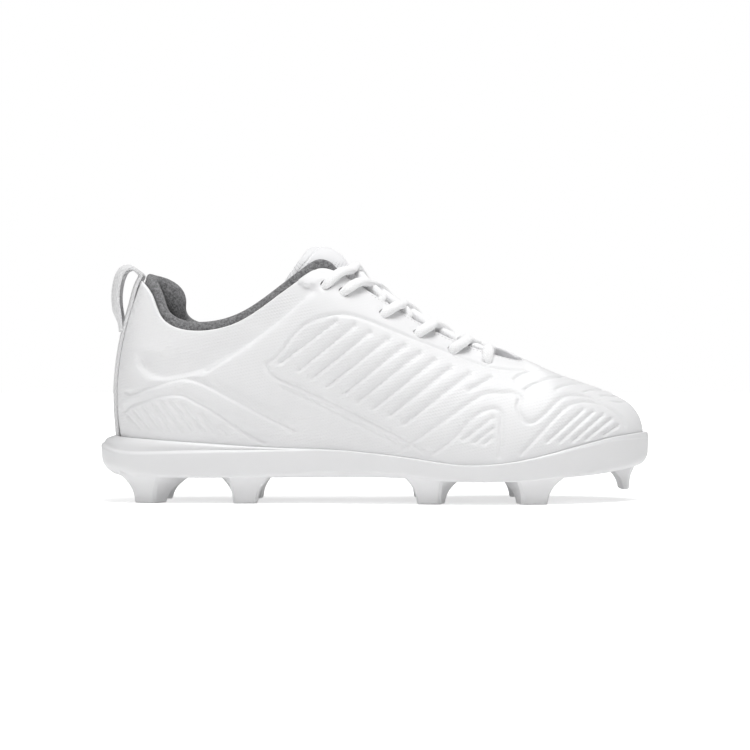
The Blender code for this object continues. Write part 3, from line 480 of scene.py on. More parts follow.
def math2(tree, operation, first, second):
    node = addNode(tree, "ShaderNodeMath", operation=operation)
    for place, value in enumerate((first, second)):
        if isinstance(value, (int, float)):
            node.inputs[place].default_value = value
        else:
            tree.links.new(value, node.inputs[place])
    return node.outputs[0]


def spread(tree, value, low, high, fromLow=0.0, fromHigh=1.0):
    node = addNode(tree, "ShaderNodeMapRange")
    for key, number in (("From Min", fromLow), ("From Max", fromHigh), ("To Min", low), ("To Max", high)):
        node.inputs[key].default_value = number
    tree.links.new(value, node.inputs["Value"])
    return node.outputs["Result"]


def mixColor(tree, factor, first, second):
    node = addNode(tree, "ShaderNodeMix", data_type="RGBA")
    tree.links.new(factor, node.inputs["Factor"])
    for socket in node.inputs:
        if socket.type == "RGBA":
            socket.default_value = (*(first if socket.name == "A" else second), 1)
    return [out for out in node.outputs if out.type == "RGBA"][0]


def paint(tree, shader, factor, first, second):
    tree.links.new(mixColor(tree, factor, first, second), shader.inputs["Base Color"])


def bump(tree, shader, heights):
    # heights: list of (socket, depth in metres), laid over each other
    last = None
    for socket, depth in heights:
        node = addNode(tree, "ShaderNodeBump")
        node.inputs["Strength"].default_value = 1.0
        node.inputs["Distance"].default_value = depth
        tree.links.new(socket, node.inputs["Height"])
        if last:
            tree.links.new(last, node.inputs["Normal"])
        last = node.outputs["Normal"]
    tree.links.new(last, shader.inputs["Normal"])


def upperWhite():
    settings = {"line": 0.00135, "lineDepth": 0.000065, "tilt": 12, "cross": 0.0011, "crossTilt": -48,
                "grain": 0.000018}
    material, tree, shader = startMaterial("white_synthetic", (0.84, 0.84, 0.845), 0.46, 0.45)
    plain = coords(tree, "Object")
    tilted = coords(tree, "Object", rotation=(0, settings["tilt"], 0))
    tone = noise(tree, plain, 55, 4)
    paint(tree, shader, tone, (0.82, 0.82, 0.828), (0.862, 0.862, 0.866))
    tree.links.new(spread(tree, noise(tree, plain, 240, 3), 0.40, 0.56), shader.inputs["Roughness"])
    lines = wave(tree, tilted, settings["line"], "Z")
    crossed = coords(tree, "Object", rotation=(0, settings["crossTilt"], 0))
    crossing = wave(tree, crossed, settings["cross"], "Z")
    lines = math2(tree, "MULTIPLY", lines, spread(tree, crossing, 0.35, 1.0))
    mask = addNode(tree, "ShaderNodeAttribute", attribute_name="fineLines")
    lines = math2(tree, "MULTIPLY", lines, mask.outputs["Fac"])
    grain = noise(tree, plain, 2600, 2)
    bump(tree, shader, [(lines, settings["lineDepth"]), (grain, settings["grain"])])
    return material


def soleWhite():
    settings = {"grain": 0.000015, "mottle": 0.00003}
    material, tree, shader = startMaterial("white_moulded", (0.83, 0.83, 0.835), 0.38, 0.5)
    plain = coords(tree, "Object")
    tone = noise(tree, plain, 38, 4)
    paint(tree, shader, tone, (0.80, 0.80, 0.808), (0.845, 0.845, 0.85))
    tree.links.new(spread(tree, noise(tree, plain, 160, 4), 0.34, 0.52), shader.inputs["Roughness"])
    bump(tree, shader, [(noise(tree, plain, 1500, 2), settings["grain"]),
                        (noise(tree, plain, 320, 3), settings["mottle"])])
    return material


def heatherKnit():
    # grey knit of mixed yarns on the piece's own UV, in metres
    settings = {"dark": (0.10, 0.10, 0.104), "light": (0.30, 0.30, 0.305), "wale": 0.0011, "course": 0.0008,
                "depth": 0.00012}
    material, tree, shader = startMaterial("grey_knit", settings["light"], 0.92, 0.2, 0.25)
    cloth = coords(tree, "UV")
    plain = coords(tree, "Object")
    yarn = noise(tree, plain, 900, 5, 0.7)
    paint(tree, shader, spread(tree, yarn, 0, 1, 0.36, 0.64), settings["dark"], settings["light"])
    loops = math2(tree, "MULTIPLY", wave(tree, cloth, settings["wale"], "X", 1.2, 2.0),
                  wave(tree, cloth, settings["course"], "Y", 0.8, 2.0))
    bump(tree, shader, [(loops, settings["depth"]), (noise(tree, plain, 2600, 3), settings["depth"] * 0.6)])
    return material


def innerCloth():
    settings = {"thread": 0.0012, "depth": 0.00012}
    material, tree, shader = startMaterial("dark_inner_cloth", (0.10, 0.10, 0.105), 0.95, 0.15, 0.2)
    plain = coords(tree, "Object")
    yarn = noise(tree, plain, 700, 4, 0.7)
    paint(tree, shader, yarn, (0.07, 0.07, 0.072), (0.17, 0.17, 0.175))
    weave = math2(tree, "ADD", *(wave(tree, plain, settings["thread"], axis, 0.5) for axis in "XZ"))
    bump(tree, shader, [(weave, settings["depth"])])
    return material


def cordWhite(name, thread=0.00085, depth=0.00012, angle=38, color=(0.95, 0.95, 0.953)):
    # braid: two sets of threads that cross, on the cord's own UV in metres
    material, tree, shader = startMaterial(name, color, 0.78, 0.25, 0.15)
    plait = math2(tree, "MAXIMUM", *(wave(tree, coords(tree, "UV", rotation=(0, 0, turn)), thread, "X", 0.2)
                                     for turn in (angle, -angle)))
    # painted shade: the grooves between the threads are painted darker, following the plait's bump, on both the
    # lace and the webbing
    paint(tree, shader, plait, tuple(value * 0.93 for value in color), color)
    fuzz = noise(tree, coords(tree, "Object"), 2400, 3)
    bump(tree, shader, [(plait, depth), (fuzz, depth * 0.5)])
    return material


def tongueMesh():
    # spacer mesh with small open cells, on UV in metres
    settings = {"cell": 0.0013, "uneven": 0.12, "hole": 0.24, "depth": 0.00014, "fuzz": 0.00006}
    material, tree, shader = startMaterial("white_spacer_mesh", (0.80, 0.80, 0.81), 0.82, 0.2, 0.2)
    cloth = coords(tree, "UV")
    cells = addNode(tree, "ShaderNodeTexVoronoi", feature="F1")
    cells.inputs["Scale"].default_value = 1 / settings["cell"]
    cells.inputs["Randomness"].default_value = settings["uneven"]
    tree.links.new(cloth, cells.inputs["Vector"])
    hole = spread(tree, cells.outputs["Distance"], 1, 0, settings["hole"] * 0.6, settings["hole"] * 1.25)
    mask = addNode(tree, "ShaderNodeAttribute", attribute_name="openMesh")
    hole = math2(tree, "MULTIPLY", hole, mask.outputs["Fac"])
    # painted shade: the open cells are painted dark grey for the shade inside them, and the same mask sinks them in
    # the bump below
    paint(tree, shader, hole, (0.80, 0.80, 0.81), (0.52, 0.52, 0.53))
    sunk = math2(tree, "SUBTRACT", 1.0, hole)
    fuzz = noise(tree, coords(tree, "Object"), 1800, 3)
    bump(tree, shader, [(sunk, settings["depth"]), (fuzz, settings["fuzz"])])
    return material


def threadWhite():
    settings = {"twist": 0.0005, "turn": 35, "depth": 0.00005}
    material, tree, shader = startMaterial("white_thread", (0.82, 0.82, 0.82), 0.7, 0.3, 0.1)
    twist = wave(tree, coords(tree, "Object", rotation=(0, settings["turn"], 0)), settings["twist"], "X", 0.3)
    # painted shade: the twist's grooves are painted darker, following the same wave as the bump
    paint(tree, shader, twist, (0.74, 0.74, 0.74), (0.84, 0.84, 0.84))
    bump(tree, shader, [(twist, settings["depth"])])
    return material


upperSkin = upperWhite()
soleSkin = soleWhite()
innerSkin = innerCloth()
greyKnit = heatherKnit()
laceSkin = cordWhite("white_lace_braid")
webSkin = cordWhite("white_webbing_weave", 0.0011, 0.00016, 62, (0.78, 0.78, 0.785))
tongueSkin = tongueMesh()
threadSkin = threadWhite()
print("materials ready")

# camera and light
view = {"distance": 1.05, "height": 0.0559, "frame": 0.3347, "sideways": -0.0002, "sensor": 36}
camera = addObject("camera", bpy.data.cameras.new("camera"))
camera.data.sensor_width = view["sensor"]
camera.data.lens = view["sensor"] * view["distance"] / view["frame"]
camera.data.clip_start = 0.05
camera.data.clip_end = 20
camera.location = (view["sideways"], -view["distance"], view["height"])
camera.rotation_euler = (math.pi / 2, 0, 0)
bpy.context.scene.camera = camera

studio = {"sky": 0.175, "backdrop": 1.0, "floor": (0.89, 0.91), "nearGlow": 0.13, "wash": 0.38, "farGlow": 0.95,
          "glowFrom": 0.24, "glowTo": 1.2, "aim": 0.04, "reach": 6,
          "lamps": (("key", (0.20, -0.34, 1.40), 0.8, 16.5), ("front", (-0.6, -1.2, 0.9), 0.7, 1.8),
                    ("back", (0.0, 0.7, 1.3), 1.0, 4.0), ("heel", (-1.2, -0.35, 0.4), 0.5, 1.6))}
world = bpy.data.worlds.new("studio")
bpy.context.scene.world = world
world.use_nodes = True
sky = world.node_tree.nodes["Background"]
sky.inputs["Color"].default_value = (1, 1, 1, 1)
skySeen = addNode(world.node_tree, "ShaderNodeLightPath")
skyGlow = spread(world.node_tree, skySeen.outputs["Is Camera Ray"], studio["sky"], studio["backdrop"])
world.node_tree.links.new(skyGlow, sky.inputs["Strength"])
bpy.context.scene.view_settings.view_transform = "Standard"
for lampName, lampPlace, lampSize, lampPower in studio["lamps"]:
    lamp = bpy.data.lights.new(lampName, "AREA")
    lamp.shape = "DISK"
    lamp.size = lampSize
    lamp.energy = lampPower
    lampObject = addObject(lampName, lamp)
    lampObject.location = lampPlace
    toShoe = Vector((0, 0, studio["aim"])) - Vector(lampPlace)
    lampObject.rotation_euler = toShoe.to_track_quat("-Z", "Y").to_euler()

floorForm = bmesh.new()
bmesh.ops.create_grid(floorForm, x_segments=2, y_segments=2, size=studio["reach"])
floor = addObject("floor", meshOf("floor", floorForm))
floorSkin, floorTree, floorShader = startMaterial("pale_floor", studio["floor"][:1] * 3, 0.8, 0.1)
floorTone = noise(floorTree, coords(floorTree, "Object"), 3, 2)
paint(floorTree, floorShader, floorTone, *((tone,) * 3 for tone in studio["floor"]))
away = addNode(floorTree, "ShaderNodeVectorMath", operation="LENGTH")
floorTree.links.new(coords(floorTree, "Object"), away.inputs[0])
floorShader.inputs["Emission Color"].default_value = (1, 1, 1, 1)
glow = spread(floorTree, away.outputs["Value"], studio["nearGlow"], studio["farGlow"],
              studio["glowFrom"], studio["glowTo"])
floorSeen = addNode(floorTree, "ShaderNodeLightPath")
wash = math2(floorTree, "MULTIPLY", floorSeen.outputs["Is Camera Ray"], studio["wash"])
floorTree.links.new(math2(floorTree, "ADD", glow, wash), floorShader.inputs["Emission Strength"])
floor.data.materials.append(floorSkin)
print("camera and studio ready")

# moulded relief of the upper, drawn in the side view in millimetres
# name: (depth, width above, width below, fade at start, fade at end), points left to right
reliefLines = {
    "collarPad": ((1.55, 8.0, 2.2, 6, 5), (
        (-105.1, 67.1), (-103.5, 59.9), (-96.4, 56.0), (-89.0, 56.3), (-79.7, 58.6), (-73.6, 61.4),
        (-67.6, 65.0), (-61.8, 68.0), (-49.8, 76.4), (-39.1, 85.1), (-30.1, 92.8), (-26.6, 96.2),
        (-27.2, 97.9))),
    "collarSeam": ((0.3, 0.5, 0.5, 0, 0), ((-27.2, 103.7), (-22.3, 101.4))),
    "underPad": ((1.25, 3.4, 0.7, 3, 4), (
        (-77.9, 56.2), (-67.6, 62.4), (-55.7, 70.6), (-43.7, 80.0), (-33.7, 88.5), (-29.7, 91.6))),
    "wing": ((0.75, 1.9, 0.7, 2, 4), (
        (-112.2, 49.4), (-110.7, 47.6), (-103.5, 49.4), (-97.5, 51.2), (-90.4, 53.3), (-85.6, 54.0),
        (-79.7, 53.0), (-73.6, 50.3), (-67.6, 47.0), (-60.0, 43.0), (-49.8, 37.6), (-33.7, 29.6))),
    "wingValley": ((0.5, 2.2, 1.4, 6, 8), ((-76.1, 54.1), (-60.5, 45.6), (-47.1, 38.9), (-33.7, 32.2))),
    "heelPatch": ((0.75, 2.0, 0.7, 3, 3), (
        (-112.5, 38.0), (-110.7, 41.2), (-103.5, 44.0), (-97.5, 45.8), (-90.4, 47.0), (-85.6, 46.5),
        (-81.9, 44.7), (-76.1, 41.6), (-67.6, 36.3), (-58.7, 30.3), (-46.6, 24.2))),
    "panelTop": ((0.6, 1.0, 0.8, 2, 6), (
        (-49.1, 60.8), (-46.7, 62.0), (-39.1, 70.2), (-31.2, 78.5), (-22.7, 81.9), (-17.0, 82.8),
        (-10.8, 82.5), (-2.9, 80.2), (8.6, 75.6), (19.9, 71.1), (31.4, 66.6), (46.6, 60.8), (56.9, 58.6),
        (63.6, 58.3), (70.3, 58.6), (76.1, 58.3))),
    "panelBack": ((0.6, 0.8, 1.0, 0, 0), ((-49.1, 60.8), (-47.3, 57.2), (-42.6, 53.9))),
    "panelFoot": ((0.5, 1.0, 0.8, 0, 6), (
        (-42.6, 53.9), (-31.2, 48.8), (-19.9, 43.6), (-8.5, 38.0), (2.9, 32.2), (14.3, 26.0),
        (23.9, 19.7))),
    "panelFoot2": ((0.4, 0.8, 0.8, 3, 6), (
        (-44.4, 51.6), (-33.0, 46.3), (-21.7, 41.0), (-10.3, 35.4), (1.1, 29.6), (12.5, 23.4))),
    "flex": ((0.70, 1.7, 0.65, 6, 3), (
        (8.6, 20.6), (15.4, 24.8), (24.3, 30.9), (35.5, 38.5), (46.6, 46.1), (50.5, 47.8), (56.5, 47.8),
        (62.9, 47.4), (64.3, 45.8), (63.6, 43.8), (64.3, 38.6), (66.7, 35.0), (69.4, 34.3), (72.8, 35.8),
        (80.0, 42.5), (84.6, 46.1), (89.8, 46.8), (96.2, 45.8), (98.4, 44.7), (104.7, 40.7))),
    "sidePatch": ((0.65, 1.5, 0.65, 3, 3), (
        (24.3, 19.7), (37.3, 29.6), (45.7, 38.0), (50.5, 40.3), (53.8, 40.6), (55.4, 39.6), (56.0, 36.7),
        (55.7, 27.5), (55.1, 17.3))),
    "toePatch": ((0.65, 1.6, 0.65, 3, 3), (
        (63.6, 19.0), (70.2, 25.6), (76.7, 32.7), (83.2, 39.4), (87.3, 42.5), (93.1, 43.8), (99.6, 43.0),
        (104.7, 40.7), (109.4, 37.3), (111.4, 34.0), (111.4, 30.9))),
    "vamp1": ((0.60, 0.6, 1.5, 2, 2), ((60.9, 53.7), (66.3, 57.0), (70.2, 58.0), (73.4, 58.8))),
    "vamp2": ((0.60, 0.6, 1.5, 2, 2), (
        (65.4, 48.8), (70.2, 51.9), (76.5, 54.3), (81.9, 55.2), (85.0, 54.7))),
    "vamp3": ((0.55, 0.6, 1.5, 2, 2), ((79.2, 49.2), (83.2, 51.0), (89.8, 52.3), (94.8, 51.9))),
    "vamp4": ((0.50, 0.6, 1.4, 2, 2), ((91.7, 48.0), (96.2, 49.3), (102.9, 49.2))),
    "vamp5": ((0.45, 0.6, 1.4, 2, 2), ((98.9, 46.5), (102.9, 46.8), (108.7, 46.1))),
    "vamp6": ((0.36, 0.6, 1.2, 2, 2), ((104.2, 44.3), (108.2, 43.9), (112.1, 43.8))),
}
# straight ribs: (depth, width above, width below, fade), then start and end of each
reliefRibs = {
    "middle": ((0.95, 1.7, 0.65), (
        (-42.2, 61.3, -17.6, 79.6), (-34.1, 57.9, -9.1, 77.8), (-27.9, 54.6, -2.2, 74.8),
        (-21.0, 51.0, 5.6, 71.7), (-13.6, 47.6, 13.2, 68.8), (-7.1, 44.5, 19.9, 65.4),
        (0.1, 41.4, 26.8, 62.3), (6.9, 38.0, 33.7, 58.8), (13.4, 34.3, 42.2, 56.3), (42.6, 49.4, 51.8, 54.7))),
    "side": ((0.7, 1.2, 0.6), ((39.4, 26.9, 52.4, 36.7), (44.3, 25.6, 52.4, 31.8), (48.9, 25.2, 52.1, 27.8))),
    "toe": ((0.75, 1.2, 0.6), (
        (77.0, 26.0, 93.1, 40.3), (82.6, 26.0, 97.5, 39.4), (88.5, 26.4, 101.9, 38.0),
        (94.4, 27.2, 105.5, 36.0), (102.2, 29.1, 108.5, 33.1))),
    "heel": ((0.45, 0.8, 0.9), (
        (-110.7, 38.0, -105.3, 32.1), (-108.5, 40.5, -101.1, 31.6), (-104.4, 41.8, -96.4, 31.4),
        (-99.9, 43.0, -91.5, 31.0), (-96.4, 43.8, -86.8, 30.9), (-92.2, 44.3, -81.7, 30.8),
        (-86.5, 43.1, -77.0, 30.5), (-78.4, 38.4, -72.1, 30.3), (-69.1, 32.4, -66.7, 30.0))),
}
lineSteps = 6      # pieces between two points of a relief line
lineReach = 2.6    # reach of a groove, in its widths
steepest = 0.22    # least share of a normal that faces the side view


def sideView(points):
    # where a point of the upper shows in the side view, in millimetres; the inner side is its mirror
    y = points[:, 1].copy()
    ridge = shoe.ridge(points[:, 0])
    y = np.where(y > ridge, 2 * ridge - y, y)
    scale = view["distance"] / (view["distance"] + y)
    height = view["height"] + (points[:, 2] - view["height"]) * scale
    return np.stack([points[:, 0] * scale, height], axis=1) * 1000


def softLine(points):
    # a smooth curve through the points of one relief line
    points = np.asarray(points, float)
    if len(points) < 3:
        return points
    along = runOf(points)
    return naturalCurve(along, points)(np.linspace(0, along[-1], (len(points) - 1) * lineSteps + 1))


def lineDepth(place, normals, path, depth, above, below, fadeIn, fadeOut):
    # depth of one groove at each place, wider on its upper side
    reach = lineReach * max(above, below)
    low = path.min(0) - reach
    high = path.max(0) + reach
    near = np.flatnonzero(((place > low) & (place < high)).all(axis=1))
    if not len(near):
        return near, np.zeros(0)
    spot = place[near]
    best = np.full(len(near), 1e9)
    side = np.zeros(len(near))
    where = np.zeros(len(near))
    apart = np.zeros((len(near), 2))
    run = 0.0
    for start, end in zip(path[:-1], path[1:]):
        step = end - start
        length = np.linalg.norm(step)
        share = np.clip(((spot - start) @ step) / length**2, 0, 1)
        gap = spot - (start + share[:, None] * step)
        away = (gap**2).sum(axis=1)
        closer = away < best
        best = np.where(closer, away, best)
        side = np.where(closer, step[0] * gap[:, 1] - step[1] * gap[:, 0], side)
        where = np.where(closer, run + share * length, where)
        apart = np.where(closer[:, None], gap, apart)
        run += length
    slope = normals[near]
    lean = (slope[:, 0] * apart[:, 0] + slope[:, 2] * apart[:, 1]) / np.maximum(np.abs(slope[:, 1]), steepest)
    distance = np.sqrt(best + lean**2)
    width = np.where(side > 0, above, below)
    fade = 1.0
    if fadeIn:
        fade = fade * smoothStep(where / fadeIn)
    if fadeOut:
        fade = fade * smoothStep((run - where) / fadeOut)
    return near, depth * np.exp(-(distance / width) ** 2) * fade


def reliefDepth(points, normals):
    # metres that the surface sinks in
    place = sideView(points)
    total = np.zeros(len(points))
    jobs = [(softLine(path), *sizes) for sizes, path in reliefLines.values()]
    for sizes, ends in reliefRibs.values():
        jobs += [(np.array(end).reshape(2, 2), *sizes, 0, 0) for end in ends]
    for path, *sizes in jobs:
        near, depth = lineDepth(place, normals, path, *sizes)
        total[near] += depth**3
    return np.cbrt(total) * 0.001


def fineLineMask(points):
    # 1 where the skin carries fine moulded lines, 0 on the smooth toe cap and eyelet stay
    place = sideView(points)
    toe = smoothStep((112 - place[:, 0]) / 8)
    stay = smoothStep((np.interp(place[:, 0], (-60, -22, 30, 60, 90), (110, 84, 67, 60, 70)) - place[:, 1]) / 3)
    low = smoothStep((place[:, 1] - np.interp(place[:, 0], (-115, -40, 20, 60, 120), (28, 24, 19, 18, 28))) / 5)
    return toe * np.maximum(stay, 0.25) * (0.3 + 0.7 * low)


def eyelets():
    # centre and outward direction of each hole, by side
    found = []
    for station, setBack, _ in eyeletRows:
        pair = []
        for side in (-1, 1):
            knot = [float(shoe.place(station, side))]
            heights = np.linspace(1, 0.5, 120)
            path = shoe.wall(knot, heights)[0]
            run = runOf(path)
            height = np.interp(setBack, run, heights)
            centre = shoe.wall(knot, [height])[0, 0]
            normal = shoe.wallNormals(knot, [height])[0, 0]
            pair.append((centre, normal))
        found.append(pair)
    return found


holes = eyelets()
upperSizes = {"perStation": 18, "rows": 102, "innerRows": 7, "reliefScale": 1.2, "rimFade": 0.03,
              "holeRadius": 0.0024, "holeSides": 24, "holeDepth": 0.009, "rollIn": 0.00040, "rollWidth": 0.0007,
              "edgeDrop": 0.0011, "edgeBand": 0.12, "edgeEnd": 1.5, "edgeRound": 0.42, "sharp": 50,
              "frontRise": 0.0046, "frontPlace": 13.8, "frontSpread": 1.2, "frontBand": 0.20, "frontEnd": 0.8}


def buildUpper():
    columns = shoe.count * upperSizes["perStation"]
    knots = np.arange(columns + 1) / upperSizes["perStation"]
    heights = np.linspace(0, 1, upperSizes["rows"] + 1)
    wall = shoe.wall(knots, heights)
    normals = shoe.wallNormals(knots, heights)
    flatPoints = wall.reshape(-1, 3)
    flatNormals = normals.reshape(-1, 3)
    sink = reliefDepth(flatPoints, flatNormals) * upperSizes["reliefScale"]
    for pair in holes:
        for centre, normal in pair:
            away = np.linalg.norm(flatPoints - centre, axis=1)
            beyond = np.maximum(away - upperSizes["holeRadius"], 0)
            sink += upperSizes["rollIn"] * bell(beyond, 0, upperSizes["rollWidth"])
    edgeFade = smoothStep(heights / upperSizes["rimFade"])[None, :]
    sink = sink.reshape(wall.shape[:2]) * edgeFade
    station = shoe.station(knots)
    closed = station >= form["throatEnd"] - 1e-6
    mirrored = columns - np.arange(columns + 1)
    ridgeSink = (sink[:, -1] + sink[mirrored, -1]) / 2
    sink[closed, -1] = ridgeSink[closed]
    outer = wall - normals * sink[:, :, None]
    outer[closed, -1] = wall[closed, -1] - np.array([0, 0, 1.0]) * sink[closed, -1][:, None]
    innerHeights = np.linspace(1, 0, upperSizes["innerRows"] + 1)
    inner = shoe.wall(knots, innerHeights) - shoe.wallNormals(knots, innerHeights) * form["wall"]
    inner[closed, 0] = ((inner[:, 0] + inner[mirrored, 0]) / 2)[closed]
    # the throat's far edge rises at its front end, and all of the edge is cut back a little
    front = upperSizes["frontRise"] * bell(station, upperSizes["frontPlace"], upperSizes["frontSpread"])
    front = front * (knots % shoe.count > shoe.count / 2)
    front = front * smoothStep((form["throatEnd"] - station) / upperSizes["frontEnd"])
    up = unit(wall[:, -1] - wall[:, -4])
    lower = upperSizes["edgeDrop"] * smoothStep((form["throatEnd"] - station) / upperSizes["edgeEnd"])
    for face, levels in ((outer, heights), (inner, innerHeights)):
        nearFront, nearEdge = (smoothStep((levels - 1 + upperSizes[band]) / upperSizes[band])[None, :]
                               for band in ("frontBand", "edgeBand"))
        face[:, :, 2] += front[:, None] * nearFront
        face -= up[:, None] * lower[:, None, None] * nearEdge[:, :, None]
    centre = (outer[:, -1] + inner[:, 0]) / 2
    across = outer[:, -1] - centre
    edge = []
    for angle in (45, 90, 135):
        swing = math.radians(angle)
        row = centre + across * math.cos(swing) + up * form["wall"] * upperSizes["edgeRound"] * math.sin(swing)
        share = (1 - math.cos(swing)) / 2
        row[closed] = (outer[:, -1] * (1 - share) + inner[:, 0] * share)[closed]
        edge.append(row)
    points = np.concatenate([
        shoe.foot(knots, 0.0), outer, np.stack(edge, axis=1), inner,
        shoe.foot(knots, form["wall"])[:, ::-1], shoe.foot(knots, 0.0)[:, :1]], axis=1)
    rows = points.shape[1] - 1
    firstEdge = 4 + upperSizes["rows"]
    innerFrom = firstEdge + 3

    def drop(column, row):
        inEdge = (row >= firstEdge) & (row < firstEdge + 4)
        return inEdge & closed[column] & closed[np.minimum(column + 1, columns)]

    mesh = gridMesh("upper", columns, rows, points, drop=drop,
                    materialRows=lambda column, row: (row > innerFrom + 2).astype(int), merge=6e-7)
    piece = addPiece("upper_shell", mesh, [upperSkin, innerSkin], ["upper"])
    bm = bmesh.new()
    for pair in holes:
        for centre, normal in pair:
            turn = Vector(normal).to_track_quat("Z", "Y").to_matrix().to_4x4()
            bmesh.ops.create_cone(bm, cap_ends=True, segments=upperSizes["holeSides"],
                                  radius1=upperSizes["holeRadius"], radius2=upperSizes["holeRadius"],
                                  depth=upperSizes["holeDepth"],
                                  matrix=Matrix.Translation(centre) @ turn)
    useBoolean(piece, addObject("holes", meshOf("holes", bm)), "DIFFERENCE")
    setAttribute(piece.data, "fineLines", fineLineMask)
    piece.data.set_sharp_from_angle(angle=math.radians(upperSizes["sharp"]))
    return piece


upper = buildUpper()
print("upper", len(upper.data.polygons))

# sole
soleSizes = {"perStation": 12, "capSteps": 6, "sharp": 28,
             "radii": (0, 0.001, 0.001, 0.0004, 0.00025, 0.0016, 0.0012, 0.0005, 0.0010, 0.0042, 0.0042, 0.0042,
                       0),
             "shelfEnd": 7.5, "shelfFade": 2.5, "shelfShare": 0.60, "shelfBulge": 0.24, "groove": 0.0014,
             "grooveLeast": 0.0002, "grooveRise": 0.0005, "creaseOut": 0.0005, "belly": 0.0009,
             "archPlace": 8.6, "archReach": 3.6, "archStep": 0.0026,
             "tipWidth": 0.0105, "inset": 0.0030, "rootOut": 0.0030, "rootIn": 0.0070, "chamfer": 0.0012,
             "sink": 0.0042, "rootLap": 0.0012, "tipRound": 0.0005, "fold": 0.0003, "levels": 17,
             "flareAt": (0.0, 0.30, 0.62, 0.88, 1.0), "flare": ((0.0,), (0.10,), (0.38,), (0.82,), (1.1,)),
             "toeClear": 0.0050, "toeWidth": 0.0160, "toeRoot": 0.0030}
# x, length, then the root's spread behind outer, behind inner, ahead outer, ahead inner
studRows = (
    (0.0977, 0.0449, 0.023, 0.024, 0.014, 0.042), (0.2681, 0.0435, 0.012, 0.030, 0.025, 0.027),
    (0.5982, 0.0430, 0.019, 0.021, 0.008, 0.029), (0.7764, 0.0478, 0.015, 0.027, 0.025, 0.027),
)
toeStud = (0.9535, 0.0145, 0.030, 0.030, 0.009, 0.009)


def roundedProfile(corners, radii, arc=3, straight=2):
    # corners is a list of rings, and each inner corner becomes a short arc
    rings = [corners[0]]
    for index in range(1, len(corners) - 1):
        before = corners[index - 1] - corners[index]
        after = corners[index + 1] - corners[index]
        reach = np.minimum(radii[index], 0.45 * np.minimum(
            np.linalg.norm(before, axis=1), np.linalg.norm(after, axis=1)))[:, None]
        start = corners[index] + unit(before) * reach
        end = corners[index] + unit(after) * reach
        previous = rings[-1]
        for step in range(1, straight + 1):
            rings.append(previous + (start - previous) * step / (straight + 1))
        for share in np.linspace(0, 1, arc + 1):
            rings.append(start * (1 - share) ** 2 + corners[index] * 2 * share * (1 - share) + end * share**2)
    rings.append(corners[-1])
    return rings


def plateEdge(x, side):
    knots = shoe.place(np.linspace(0, 22, 600), side)
    ring = shoe.cupSection(knots)[-2]
    return ring[int(np.argmin(np.abs(ring[:, 0] - x)))]


def studForm(row, halfWidth, rootOut, rootIn, tipZ, rootZ, place, turn, side):
    # rings that flare in a hollow curve from the tip to the root, with a soft fold down the outer face
    _, length, backOut, backIn, aheadOut, aheadIn = row
    whole = form["length"]
    half = length * whole / 2
    cut = soleSizes["chamfer"]
    flares = naturalCurve(soleSizes["flareAt"], soleSizes["flare"])
    shares = np.linspace(0, 1, soleSizes["levels"])
    spreads = shares * (rootZ - tipZ) / (rootZ - tipZ - soleSizes["sink"] + soleSizes["rootLap"])
    rings = []
    for share, flare in zip(shares, np.maximum(flares(np.minimum(spreads, 1))[:, 0], 0)):
        backs = half + backOut * whole * flare, half + backIn * whole * flare
        aheads = half + aheadOut * whole * flare, half + aheadIn * whole * flare
        out, inner = halfWidth + rootOut * flare, -halfWidth - rootIn * flare
        level = tipZ + (rootZ - tipZ) * share
        for trim in ((soleSizes["tipRound"], 0.0) if share == 0 else (0.0,)):
            rings.append([(px, py, level + (0.0 if trim or share else soleSizes["tipRound"])) for px, py in (
                (-backs[0] + trim, out - cut), (-backs[0] + cut, out - trim), (0.0, out - trim + soleSizes["fold"]),
                (aheads[0] - cut, out - trim), (aheads[0] - trim, out - cut), (aheads[1] - trim, inner + cut),
                (aheads[1] - cut, inner + trim), (-backs[1] + cut, inner + trim), (-backs[1] + trim, inner + cut))])
    rings = np.array(rings)
    rings = np.concatenate([rings, rings[:, :1]], axis=1)
    rings = np.concatenate([rings[:1].mean(axis=1, keepdims=True).repeat(rings.shape[1], 1), rings,
                            rings[-1:].mean(axis=1, keepdims=True).repeat(rings.shape[1], 1)])
    rings[:, :, 1] *= side
    swing = np.array([[math.cos(turn), math.sin(turn), 0], [-math.sin(turn), math.cos(turn), 0], [0, 0, 1]])
    points = (rings @ swing + np.array(place)).transpose(1, 0, 2)
    return gridMesh("stud", points.shape[0] - 1, points.shape[1] - 1, points)


